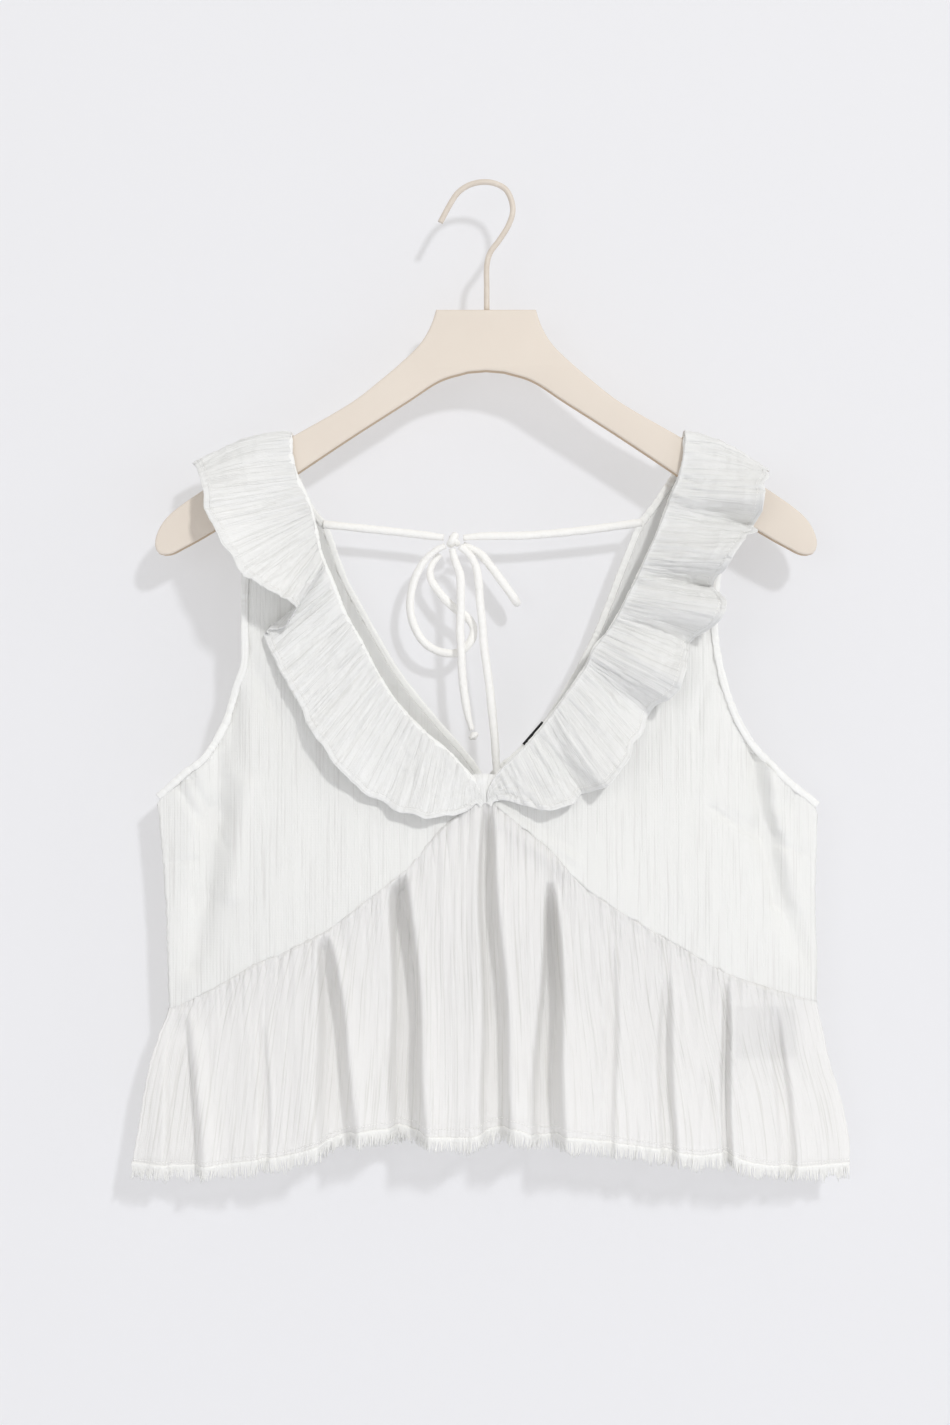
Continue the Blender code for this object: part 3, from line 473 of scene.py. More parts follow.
body = {
    "halfWidth": [   # z, left, right
        (-120, 440, 440), (-200, 420, 420), (-300, 300, 300), (-380, 236, 236), (-409, 221, 222), (-430, 217.5, 221),
        (-451, 215.4, 220), (-475, 213.6, 219.6), (-506, 212.6, 220.8), (-547, 211, 221), (-571, 220.5, 226),
        (-595, 226, 231), (-627, 231.5, 241), (-655, 235, 243), (-690, 237, 245),
    ],
    "depth": [   # z, front, back
        (-120, 8.6, 8.6), (-200, 8.9, 8.9), (-300, 15, 11), (-400, 21, 13), (-470, 24, 13), (-547, 21, 11.5),
        (-600, 25, 15), (-664, 29, 18),
    ],
    "side": 0.9,
    "creases": [   # x, z at each end, half width, depth
        (-167, -340, -178, -420, 10, 3), (-178, -420, -192, -500, 11, 4), (176, -372, 184, -430, 9, 3),
        (184, -430, 208, -508, 10, 4), (-216, -451, -196, -449, 4, 1.5), (150, -415, 212, -446, 5, 2),
        (8, -420, 52, -455, 6, -2.5), (-150, -330, -120, -380, 9, 2), (120, -330, 96, -400, 12, 2),
    ],
    "darts": [(-216, -450.5, -192, -448), (148.5, -413.5, 172, -430), (172, -430, 214, -446)],
    "armTop": [
        (0, -83.8), (33, -83.8), (36.6, -94.4), (43.6, -106.3), (56, -118.6), (70, -130.5), (88, -144.5),
        (134.6, -171.6), (194.7, -208.2), (212, -222),
    ],
    "overArm": [(0.2, 1.4), (3.8, 1.4), (6.0, 0.8), (7.4, -1.2), (7.8, -4.8)],   # out, above the arm's top
    "strapFlat": 10.0,
    "bindingWide": 4.7,
    "bindingThick": 2.2,
    "bindingOut": 0.4,
    "seamGap": 0.3,
    "cloth": 1.0,
    "least": 0.7,   # no cloth comes nearer the middle plane
    "underV": (0.4, -410.5), "underBackV": (1.2, -398.5),   # where the neck edges run on to under the V
}
edges = {
    "neckFrontLeft": [
        (-129.4, -169), (-127.4, -181), (-124, -194), (-116.2, -210.5), (-111.5, -228), (-107.8, -245.7),
        (-99.2, -266.6), (-91.7, -285.5), (-81.6, -303.2), (-74, -318), (-62.7, -337.3), (-52.5, -350), (-38, -364.5),
        (-25, -375), (-14.5, -386), (-7.3, -394), (-3.2, -402),
    ],
    "neckFrontRight": [
        (132, -169), (128, -190.7), (120, -210.5), (112, -232.3), (102.2, -253.8), (97.5, -263.9), (88.7, -281.3),
        (79.2, -297.5), (71, -307), (64.9, -319.9), (56.6, -331.7), (48.2, -343.9), (37.6, -357.5), (25.5, -371.9),
        (11, -386), (4.2, -394), (0.6, -402),
    ],
    "neckBackLeft": [
        (-129.4, -169), (-127.4, -181), (-123.4, -196), (-114.8, -213.8), (-106.3, -225), (-93, -260), (-80, -284.5),
        (-56.8, -324), (-30.4, -357), (-12, -378), (-3, -391),
    ],
    "neckBackRight": [
        (132, -169), (130, -181), (122.4, -194), (111.5, -210.5), (101.6, -223.7), (91.7, -247.5), (69.3, -303.6),
        (47.5, -342.5), (35.6, -360.4), (17, -379), (3, -391),
    ],
    "armholeLeft": [
        (-157, -184), (-158.4, -223.7), (-161.4, -263), (-161.6, -293), (-162, -320), (-166.3, -331),
        (-170.3, -344.5), (-174, -356), (-182.8, -372.3), (-189.6, -381), (-199.3, -388), (-207, -394.7),
        (-219.2, -405),
    ],
    "armholeRight": [
        (157, -185), (155.8, -250), (152.7, -289.5), (156, -317.7), (162, -340), (169.6, -357.7), (178.4, -371),
        (191.4, -385), (204.6, -397.3), (215.6, -405.5), (221.4, -410.5),
    ],
    "sideLeft": [(-218, -411), (-216, -428.7), (-214, -451), (-212.4, -475), (-211.3, -506), (-210, -548.5)],
    "sideRight": [(219.6, -417), (219, -441.5), (218.2, -474.5), (219.4, -514), (219, -543)],
    "underbustLeft": [
        (-4.5, -409.2), (-17.2, -417.5), (-30.4, -429), (-40.5, -440.9), (-52, -454), (-76, -472.6), (-103, -493.7),
        (-127.4, -506.6), (-151.8, -517.4), (-181.5, -534.6), (-210, -548.5),
    ],
    "underbustRight": [
        (2.5, -409.2), (9.2, -413.8), (25, -427.4), (42, -442.2), (60.7, -462.7), (94.2, -485.8), (133, -508.6),
        (163, -525.4), (193.7, -536.2), (219, -543),
    ],
    "waistBackLeft": [(-0.3, -527), (-110, -533), (-210, -548.5)],
    "waistBackRight": [(0.3, -527), (110, -532), (219, -543)],
    "centreBack": [(3.0, -397), (0.3, -402), (0.05, -450), (0.05, -527)],
}


def armTop(x):
    rows = np.asarray(body["armTop"], float)
    return np.interp(np.abs(x), rows[:, 0], rows[:, 1])


def nearLine(x, z, row):   # distance from a line between two points
    x0, z0, x1, z1 = row[:4]
    ax, az = x1 - x0, z1 - z0
    t = np.clip(((x - x0) * ax + (z - z0) * az) / (ax * ax + az * az), 0, 1)
    return np.hypot(x - x0 - t * ax, z - z0 - t * az)


def creaseAt(x, z, row):
    return row[5] * hump(nearLine(x, z, row) / row[4])


def bodyDepth(x, z, back=False):
    half = np.where(np.asarray(x) < 0, readTable(body["halfWidth"], z, 1), readTable(body["halfWidth"], z, 2))
    full = readTable(body["depth"], z, 2 if back else 1)
    lens = 1 - np.clip(np.abs(x) / half, 0, 1) ** 2.6
    out = body["side"] + (full - body["side"]) * lens
    if not back:
        for row in body["creases"]:
            out = out - creaseAt(x, z, row) * np.clip(lens * 3, 0, 1)
    return np.maximum(out, body["side"])


def nearEdge(x, edge, reach):   # 1 at an edge that runs down the grid, fading away from it
    return np.exp(-np.abs(x - edge[:, None, 0]) / reach)


def placed(x, out, z, back):   # points in space from how far they stand out of the middle plane
    return np.stack([x, out * (1 if back else -1), z], axis=-1)


def sideOf(table, kind, side, back=None):
    word = "" if back is None else "Back" if back else "Front"
    return table[kind + word + ("Left" if side < 0 else "Right")]


def edgeCurve(kind, side, back, inset, runOn=()):   # a neck or armhole edge, moved into the cloth
    table = list(sideOf(edges, kind, side, back)) + list(runOn)
    return sideways(smoothLine(table, 400), (side if kind == "neck" else -side) * inset)


def flatPart(curve):
    return curve[curve[:, 1] < armTop(curve[:, 0]) - body["strapFlat"]]


def overStrap(x, back, count):   # points over the arm at each x, from the shoulder seam down
    shape = evenly(smoothLine(body["overArm"], 60), count)
    return np.stack([placed(x, np.full_like(x, out), armTop(x) + high, back) for out, high in shape])


def edgeLine(kind, side, distance, back):   # an edge in space, from the shoulder down
    if kind == "neck":
        runOn = body["underBackV" if back else "underV"]
        flat = flatPart(edgeCurve(kind, side, back, distance, [(side * runOn[0], runOn[1])]))
        flat = flat[np.abs(flat[:, 0]) > 1.2]
    else:
        flat = flatPart(edgeCurve(kind, side, None, distance))
    x, z = flat.T
    return np.concatenate([overStrap(x[:1], back, 14)[:, 0], placed(x, bodyDepth(x, z, back), z, back)])


def wholeEdge(kind, side, distance, count):   # up the front, over the shoulder, down the back
    front, rear = edgeLine(kind, side, distance, False), edgeLine(kind, side, distance, True)
    return evenly(np.concatenate([front[::-1], rear]), count)


def patchOf(top, bottom, inner, outer):
    u = np.linspace(0, 1, len(top))[None, :, None]
    v = np.linspace(0, 1, len(inner))[:, None, None]
    made = (1 - v) * top[None] + v * bottom[None] + (1 - u) * inner[:, None] + u * outer[:, None]
    made -= (1 - u) * (1 - v) * top[0] + u * (1 - v) * top[-1]
    return made - (1 - u) * v * bottom[0] - u * v * bottom[-1]


# ---- bust and back panels

panels = {
    "cols": 118, "rows": 236, "overRows": 16, "backShare": 0.55, "underBinding": 0.8,
    "crinkleWide": 4.2, "crinkleTall": 70, "crinkleDeep": 0.4,
    "seamTuck": 0.2,   # how far the cloth rolls in at the waist seam
    "puckerDeep": 1.5,   # drawn-up cloth beside the bindings
    "softWave": 1.5,
    # x, z at each end, half width, depth: folds that the photo shows crisply
    "folds": [
        (-168, -343, -180, -420, 7, 3.6), (-180, -420, -189, -475, 7, 4.6), (-189, -475, -196, -518, 7, 3.8),
        (176, -372, 184, -428, 5, 4.6), (184, -428, 194, -475, 5, 5.4), (194, -475, 212, -512, 5, 4.2),
        (-176, -330, -170, -390, 4, -1.6), (-158, -400, -169, -470, 6, -2.4), (196, -420, 208, -480, 4, -2.6),
        (184, -372, 193, -428, 4, -3.6), (193, -428, 203, -475, 4, -3.2), (8, -414, 59, -448, 3.2, -1.6),
        (-206, -395, -186, -430, 3, 1.6), (-198, -388, -172, -440, 2.6, 1.2), (206, -402, 190, -440, 3, 1.3),
        (-162, -300, -140, -350, 4, 1.2), (154, -300, 138, -360, 4, 1.2),
    ],
}


def panelPoints(side, back):
    share = fine * (panels["backShare"] if back else 1)
    cols, rows, over = (int(panels[count] * share) for count in ("cols", "rows", "overRows"))
    inset = body["bindingWide"] + body["seamGap"] - panels["underBinding"]
    inner = flatPart(edgeCurve("neck", side, back, inset))
    hole = edgeCurve("armhole", side, None, inset)
    edge = np.asarray(sideOf(edges, "side", side), float)
    hole = flatPart(hole[hole[:, 1] > edge[0, 1] + 3])
    outer = evenly(np.concatenate([hole, smoothLine(edge, 120)]), rows)
    base = smoothLine(sideOf(edges, "waistBack" if back else "underbust", side), cols)
    if back:
        inner = np.concatenate([inner[inner[:, 1] > -392], np.asarray(edges["centreBack"], float) * (side, 1)])
    else:
        inner = np.concatenate([inner[inner[:, 1] > base[0, 1] + 3], base[:1]])
    inner = evenly(inner, rows)
    outer[-1], inner[-1] = base[-1], base[0]
    head = np.linspace(inner[0], outer[0], cols)
    flat = patchOf(head, base, inner, outer)
    x, z = flat[:, :, 0], flat[:, :, 1]
    y = bodyDepth(x, z, back)
    seed = 11 + 3 * side + (50 if back else 0)
    drop = base[None, :, 1] - z   # minus above the seam
    free = np.clip((y - body["side"]) / 5, 0, 1)
    u = np.linspace(0, 1, cols)[None, :]
    run = np.linspace(0, lengthOf(outer), rows)[:, None]
    relief = panels["crinkleDeep"] * crinkle(x, z, panels["crinkleWide"], panels["crinkleTall"], seed)
    relief += panels["softWave"] * (noise(x / 38, z / 90, seed + 5) - 0.5) * 2
    pucker = hump(u * 150 / 9) + hump((1 - u) * 150 / 9) * (z > edge[0, 1])
    relief += panels["puckerDeep"] * pucker * gathers(run, u * 40, 5.5, 60, seed + 9)
    sideEdge = nearEdge(x, outer, 4.5) * (z < edge[0, 1])   # the side seam draws the cloth up
    relief += 0.8 * sideEdge * gathers(run, u * 40, 4.5, 60, seed + 17)
    x = x + side * 0.9 * sideEdge * noise(run / 3.4, 0, seed + 21)
    z = z + 1.2 * np.exp(drop / 4) * wobble(x / 5.5, seed + 23) * 2
    relief += 0.6 * np.exp(drop / 9) * gathers(x, z, 6, 40, seed + 13)   # little pleats caught in the waist seam
    if not back:
        for row in panels["folds"]:
            relief -= creaseAt(x, z, row)
        for row in body["darts"]:
            away = nearLine(x, z, row)
            relief -= 0.7 * hump(away / 1.1)
            relief += 0.35 * hump((away - 3) / 2.2)
    y = y + relief * free
    y = y - panels["seamTuck"] * np.exp(drop / 1.2) * np.clip(free + 0.3, 0, 1)
    if back:
        y = y - 0.9 * np.exp(-np.abs(x) / 0.9) + 0.5 * hump((np.abs(x) - 4) / 2.5) * (z < -395)
    points = placed(x, np.maximum(y, body["least"]), z, back)
    return np.concatenate([overStrap(head[:, 0], back, over + 2)[:-1], points])


for side, word in bothSides:
    for back in (False, True):
        key = ("back_bodice_" if back else "front_bodice_") + word
        grid = panelPoints(side, back)
        uv = np.stack([grid[:, :, 0] + 400 * side, -grid[:, :, 2]], axis=2)
        gauze = backGauze if back else panelGauze
        clothPiece(key + "_gauze", grid, gauze, body["cloth"], [key], uv)
print("bust and back panels made")


# ---- gathered skirts with their raw hems

skirts = {
    "cols": 590, "rows": 70, "backCols": 0.68, "backRows": 0.66, "foldsEnd": 655,
    "rawAboveEnd": 9.5,
    "fringeEndFront": [
        (-234.5, -661), (-195.4, -662.6), (-153, -656.7), (-128, -652), (-101.6, -643.5), (-83, -637),
        (-59.4, -635.6), (-45.5, -639), (-12.5, -640.2), (17.8, -634.3), (36.3, -641.5), (50.2, -640.2),
        (81.8, -644.2), (120, -649.4), (140, -652.7), (157.7, -651.4), (171, -657.4), (203.3, -662.6), (241, -661),
    ],
    "fringeEndBack": [
        (-234.5, -661), (-180, -655), (-120, -647), (-40, -637), (40, -636), (120, -645), (190, -655), (241, -661),
    ],
    "sideLeft": [(-210, -549), (-219, -571), (-225, -595), (-230.5, -627), (-234.5, -651.5)],
    "sideRight": [(219, -543.5), (223.5, -561.4), (228, -583), (236.8, -612), (241, -640), (241, -651.5)],
    # x at the seam, z where it starts, x at the hem, half width at the start and the hem, depth, roll beside it
    "foldsFront": [
        (-203, -550, -201, 6, 11, 10, 2.6), (-107, -494, -95, 2.5, 12.5, 14, 2.0), (-57, -444, -50, 4, 11, 19, 1.8),
        (0, -408, 8, 3, 9.5, 14, 1.4), (43, -462, 40, 2, 10.5, 18, 1.6), (118, -525, 119, 2.5, 5.5, 6, 1.4),
        (157, -528, 159, 2, 3.4, 6, 1.2), (-148, -556, -146, 3, 4, 3.0, 0.5), (82, -505, 80, 3, 5, 3.2, 0.4),
        (192, -546, 199, 3, 6, 5, 0.5),
    ],
    "foldsBack": [
        (-178, -548, -184, 7, 9, 5, 1.2), (-118, -538, -112, 6, 9, 8, 2.0), (-62, -534, -66, 6, 9, 9, 2.0),
        (4, -531, -2, 6, 8, 9, 2.2), (58, -534, 66, 6, 8, 8, 2.0), (112, -538, 118, 7, 9, 8, 1.6),
        (176, -546, 182, 6, 8, 5, 1.0), (-92, -540, -90, 3, 5, 3, 0.6), (30, -536, 32, 3, 5, 3, 0.6),
        (146, -540, 150, 3, 5, 3, 0.6), (-150, -545, -148, 3, 5, 3, 0.6),
    ],
    "gathers": [   # depth, raised by, width, length, seed step, how far down they fade
        (2.6, 0.6, 3.8, 75, 0, 34), (2.8, 0.5, 2.8, 16, 50, 5), (1.5, 0, 2.5, 60, 57, 60),
    ],
    "pleatDeep": 1.0, "crinkleDeep": 0.5, "tuckIn": 0.6,
    "tuckUp": 1.4,   # the skirt's top edge goes up behind the upper panels
    "stayStitch": 4.2,   # above the raw edge
}


def skirtPoints(back):
    cols = int(skirts["cols"] * fine * (skirts["backCols"] if back else 1))
    rows = int(skirts["rows"] * fine * (skirts["backRows"] if back else 1))
    low = smoothLine(skirts["fringeEndBack" if back else "fringeEndFront"], cols) + (0, skirts["rawAboveEnd"])
    left, right = (smoothLine(sideOf(edges, "waistBack" if back else "underbust", s), 200) for s in (-1, 1))
    top = evenly(np.concatenate([left[::-1], right]), cols) + (0, skirts["tuckUp"])
    sides = [smoothLine(skirts["sideLeft"], rows), smoothLine(skirts["sideRight"], rows)]
    for edge, corner in zip(sides, (0, -1)):
        edge[0], edge[-1] = top[corner], low[corner]
    flat = patchOf(top, low, *sides)
    level = np.linspace(0, 1, rows)   # rows stand close at the seam and the hem
    level = (level - 0.13 * np.sin(2 * math.pi * level)) * (rows - 1)
    under = np.clip(level.astype(int), 0, rows - 2)
    flat = flat[under] + (flat[under + 1] - flat[under]) * (level - under)[:, None, None]
    x, z = flat[:, :, 0], flat[:, :, 1]
    out = bodyDepth(x, z, back)
    free = np.clip((out - body["side"]) / 6, 0, 1)
    drop = top[None, :, 1] - z - skirts["tuckUp"]
    up = z - low[None, :, 1]
    for x0, z0, x1, halfTop, halfHem, deep, roll in skirts["foldsBack" if back else "foldsFront"]:
        t = np.clip((z0 - z) / (z0 + skirts["foldsEnd"]), 0, 1)
        away = x - (x0 + (x1 - x0) * t + 1.2 * np.sin(z / 23 + x0))
        half = halfTop + (halfHem - halfTop) * t**0.6
        grow = free * (1 - np.exp(-np.clip(z0 - z, 0, None) / 16)) * np.clip(drop / 12, 0, 1)
        out -= 1.2 * deep * grow * np.exp(-((away / half) ** 6))
        out += roll * 0.6 * grow * hump((away / half + 1.6) / 0.7)
        out += roll * 1.8 * grow * hump((away / half - 1.45) / 0.6)
    out += free * 2.2 * np.clip(drop / 60, 0, 1) * np.sin(x / 21.0 + 0.8)
    seed = 171 if back else 101
    starts = ramp(drop, -1.0, 0.9)
    left, right = flat[:, 0], flat[:, -1]
    x = x + 0.9 * (nearEdge(x, right, 5) * noise(z / 3.4, 0, seed + 31)
                   - nearEdge(x, left, 5) * noise(z / 3.4, 0, seed + 33))
    relief = 0
    for deep, raised, wide, tall, step, fade in skirts["gathers"]:
        relief = relief + deep * (gathers(x, drop, wide, tall, seed + step) + raised) * np.exp(-drop / fade) * starts
    relief += 0.5 * gathers(x, drop, 11, 120, seed + 40) * ramp(drop, 6, 40)
    relief += skirts["pleatDeep"] * crinkle(x, drop, 15, 190, seed + 7) * ramp(drop, 4, 45)
    relief += skirts["crinkleDeep"] * crinkle(x, drop, 3.2, 110, seed + 14) * starts
    relief -= 0.35 * hump((up - skirts["stayStitch"]) / 0.7)
    relief += 0.6 * np.exp(-up / 4) * crinkle(x, up, 3, 20, seed + 21)
    relief += 0.9 * (nearEdge(x, left, 6) + nearEdge(x, right, 6)) * gathers(z, x, 6, 30, seed + 28)
    out += relief * np.clip(free + 0.12, 0, 1)
    out -= skirts["tuckIn"] * (1 - ramp(drop, -1.0, 0.5)) * free
    return placed(x, np.maximum(out, body["least"]), z, back)


skirtGrids = {}
for back, part in ((False, "front"), (True, "back")):
    key = part + "_peplum"
    grid = skirtGrids[part] = skirtPoints(back)
    across = np.linspace(0, 520, grid.shape[1])[None, :] + 0 * grid[:, :, 2]   # threads run with the columns
    uv = np.stack([across, -grid[:, :, 2]], axis=2)
    clothPiece(key + "_gauze", grid, backGauze if back else skirtGauze, body["cloth"], [key], uv)
print("skirts made")


# ---- frayed hems: a strip of cloth whose lower part is loose threads

fray = {"front": 860, "back": 560, "rows": 7, "thick": 0.42, "sway": 1.7, "lift": 1.3}


def frayedHem(name, edge, ends, threads, seed):
    cols, rows = int(threads * fine) * 2 + 1, fray["rows"]
    line = evenly(edge, cols)
    share = np.linspace(0, 1, 300)
    along = readAt(np.linspace(0, 1, cols), share, np.gradient(evenly(edge, len(share)), axis=0))
    out = unit(np.stack([along[:, 1], -along[:, 0], np.zeros(cols)], axis=1))
    ends = np.asarray(ends, float)
    thread = (np.arange(cols) // 2).astype(float)
    long = line[:, 2] - np.interp(line[:, 0], ends[:, 0], ends[:, 1])
    long = long + 1.6 - 2.6 * noise(thread * 0.9, 0, seed) - 3.4 * noise(thread / 5, 0, seed + 8)
    sway = fray["sway"] * wobble(thread * 0.63, seed + 1) * 2 + 2.4 * wobble(thread / 23, seed + 2)
    lift = fray["lift"] * wobble(thread * 0.71, seed + 3) * 2
    curl = wobble(thread * 0.57, seed + 4) * 1.6
    points = np.zeros((rows, cols, 3))
    for i in range(rows):   # the first rows lie in and on the cloth's raw edge
        t = max(0.0, (i - 2) / (rows - 3))
        points[i] = line
        points[i, :, 2] -= (-2.6, -1.0, 0.0)[i] if i < 3 else long * t
        points[i, :, 0] += sway * t**1.4 + curl * math.sin(math.pi * t)
        points[i] += out * (lift * t**1.6 + (0.1, 0.62, 0.5)[min(i, 2)] * (1 - t))[:, None]
        if i > 0:   # each thread draws in to a narrow round end
            pair = points[i, 0:-1:2], points[i, 1::2]
            centre = (pair[0] + pair[1]) / 2
            for half in pair:
                half[:] = centre + (half - centre) * (1.95 - 1.1 * t)
    mesh = gridShape(name, points, walkUv(points))
    bm = bmesh.new()
    bm.from_mesh(mesh)
    gaps = [f for f in bm.faces if f.index // (cols - 1) > 0 and (f.index % (cols - 1)) % 2 == 1]
    bmesh.ops.delete(bm, geom=gaps, context="FACES")
    bm.to_mesh(mesh)
    bm.free()
    return giveWall(addPiece(name + "_threads", mesh, threadEnds, [name]), fray["thick"])


frayPieces = {
    "front": frayedHem("fringe_front", skirtGrids["front"][-1], skirts["fringeEndFront"], fray["front"], 301),
    "back": frayedHem("fringe_back", skirtGrids["back"][-1], skirts["fringeEndBack"], fray["back"], 331),
}
print("frayed hems made")


# ---- ruffles: rows from the neck seam to the free edge, front V to back V

ruffles = {
    "along": 860, "cols": 38, "seamInset": 1.0, "thick": 0.7, "hemWide": 4.2, "hemThick": 1.0, "root": 1.85,
    # seam x, seam z, edge x, edge z, lift off the body at the edge
    "frontLeft": [
        (-1.8, -408, -3.4, -412.5, 0.4), (-5.3, -402, -6.6, -410, 1), (-12, -394, -12, -413, 3),
        (-20, -388, -21, -416.5, 6), (-29, -379, -33.7, -419, 10), (-39.6, -370, -50, -417, 12),
        (-49, -361, -66.7, -410, 8), (-57, -353, -82, -400.6, 9), (-66.7, -340.6, -95.7, -388.7, 13),
        (-73, -329, -105.6, -375, 14), (-79, -317.5, -114.8, -360.4, 11), (-85.8, -306, -122.8, -346.5, 10),
        (-91.7, -296, -129.4, -334.6, 9), (-97.7, -284.5, -136.6, -318.8, 7), (-103, -271, -143.9, -307.6, 4),
        (-106, -263.3, -146, -299, 3), (-108.2, -256.7, -135, -296, 9), (-109.2, -253.4, -128.7, -291, 20),
        (-110.2, -250, -122.5, -281.5, 32), (-111.5, -242, -130.7, -274.6, 36), (-112.9, -233.6, -147.8, -267.3, 34),
        (-115.5, -223.7, -161.7, -255.4, 28), (-118.8, -215, -173, -234.3, 24), (-122.8, -205.3, -182.2, -218.5, 21),
        (-127.4, -196, -186.2, -204, 19),
    ],
    "frontRight": [
        (1.8, -408, 3.0, -412, 0.4), (5.5, -402, 5.3, -409, 1), (11, -394, 15.5, -408.5, 4),
        (20.5, -385, 33.7, -413.8, 9), (30, -375, 48.8, -413.8, 13), (36, -368.5, 57, -410, 10),
        (40, -364, 62, -403.5, 0), (46, -357.5, 72.6, -401.3, 15), (52, -350.5, 80.5, -394, 22),
        (60, -341, 90.5, -381, 19), (68, -329, 101, -364, 8), (72, -322, 105.6, -352, -1),
        (77, -314.5, 119, -341, 25), (82, -306.5, 128.5, -326, 29), (88, -297, 132.5, -313, 14),
        (91.5, -289.5, 133, -304.5, -1), (97, -279.5, 151.5, -289, 29), (102, -269.5, 155.5, -277, 25),
        (106, -262, 149.5, -268.5, -1), (111, -251.5, 156.5, -253.5, 30), (116.5, -238.5, 167, -240, 29),
        (120.5, -227.5, 175, -233, 15), (124.5, -217.5, 176, -227, 1), (127.5, -208.5, 181, -213, 25),
        (132, -196, 182.8, -200, 20),
    ],
    # depth and height over the arm at the seam, edge x, edge depth, edge z
    "overLeft": [
        (-10.2, -4.5, -191.4, -14, -191.5), (-7.4, 3.2, -194, -6, -186.5), (0, 4.4, -193, 0, -186),
        (7.4, 3.2, -188, 7, -190), (10.2, -4.5, -182, 15, -198),
    ],
    "overRight": [
        (-10.2, -4.5, 184.8, -14, -192), (-7.4, 3.2, 185.5, -7, -189.5), (0, 4.4, 186, 0, -190),
        (7.4, 3.2, 181, 8, -194), (10.2, -4.5, 176, 16, -202),
    ],
    # share of the way down, edge across, edge down, lift
    "back": [
        (0.03, 41, -26, 14), (0.09, 43, -30, 20), (0.15, 46, -33, 22), (0.22, 50, -30, 9), (0.29, 50, -31, 4),
        (0.36, 50, -36, 17), (0.43, 49, -38, 22), (0.50, 46, -35, 7), (0.57, 47, -36, 4), (0.64, 48, -38, 16),
        (0.71, 46, -36, 19), (0.78, 38, -33, 6), (0.85, 30, -30, 6), (0.92, 18, -24, 9), (0.985, 4, -14, 2),
    ],
    "gatherDeep": 2.8, "crinkleDeep": 1.05, "edgeRipple": 2.8, "edgeWander": 1.8,
}


def ruffleRows(side, cols):
    t = np.linspace(0, 1, cols)[:, None]
    root = body["bindingOut"] + ruffles["root"]   # the strip starts on top of the binding
    inset = ruffles["seamInset"]
    rows = []
    seam = flatPart(edgeCurve("neck", side, False, inset, [(side * body["underV"][0], body["underV"][1])]))
    for sx, sz, ex, ez, lift in sideOf(ruffles, "front", side):
        start = seam[np.argmin(np.hypot(seam[:, 0] - sx, seam[:, 1] - sz))]
        x, z = (start + (np.array([ex, ez]) - start) * t).T
        rows.append(placed(x, bodyDepth(x, z) + root + lift * t[:, 0] ** 1.1, z, False))
    overX = seam[0, 0]
    for sy, high, ex, ey, ez in sideOf(ruffles, "over", side):
        start = np.array([overX, sy, armTop(overX) + high])
        line = start + (np.array([ex, ey, ez]) - start) * t
        line[:, 2] += 5.0 * np.sin(np.pi * t[:, 0])
        rows.append(line)
    seam = flatPart(edgeCurve("neck", side, True, inset))
    seam = seam[np.abs(seam[:, 0]) > 3]
    for share, across, down, lift in ruffles["back"]:
        x, z = (seam[int(share * (len(seam) - 1))] + np.array([side * across, down]) * t).T
        rows.append(placed(x, bodyDepth(x, z, True) + root + lift * t[:, 0] ** 1.25, z, True))
    return np.stack(rows)


def rufflePoints(side):
    cols, count = int(ruffles["cols"] * fine) + 4, int(ruffles["along"] * fine)
    rows = ruffleRows(side, cols)
    t = np.arange(len(rows), dtype=float)
    fineT = np.linspace(0, t[-1], count)
    points = np.stack([throughPoints(rows[:, j], t, fineT) for j in range(cols)], axis=1)
    run = walked(steps(points[:, cols // 2]))[:, None]
    v = np.linspace(0, 62, cols)[None, :]
    seed = 501 + side
    n = wayUp(points, cols // 2)
    ends = ramp(np.minimum(run, run[-1] - run), 0, 14)
    relief = ruffles["gatherDeep"] * (gathers(run, v, 6.2, 70, seed) + 0.3) * ramp(v, 0.0, 5) * np.exp(-v / 32)
    relief += 1.8 * gathers(run, v, 3.2, 40, seed + 44) * ramp(v, 0.0, 3) * np.exp(-v / 45)
    relief += ruffles["edgeRipple"] * crinkle(run, v, 15, 120, seed + 8) * ramp(v, 8, 60)
    relief += ruffles["crinkleDeep"] * crinkle(run, v, 2.9, 30, seed + 16) * ramp(v, 0, 4)
    relief += 0.7 * crinkle(v, run, 4.4, 20, seed + 32) * ramp(v, 4, 20)
    sunk = 1.6 * (1 - ramp(v, 0, 4.0)) ** 2   # the root rolls down over the neck edge
    wander = ruffles["edgeWander"] * wobble(run / 9, seed + 24) * 2 * ramp(v, 30, 62)
    points = points + unit(points[:, -1:] - points[:, :1]) * (wander * ends)[:, :, None]
    uv = np.stack(np.broadcast_arrays(run * 1.6, v), axis=2)
    return points + n * (relief * ends - sunk)[:, :, None], uv


def wayUp(grid, column):   # normals that point upwards over the shoulder
    normals = wayOut(grid)
    return -normals if normals[len(grid) // 2, column, 2] < 0 else normals


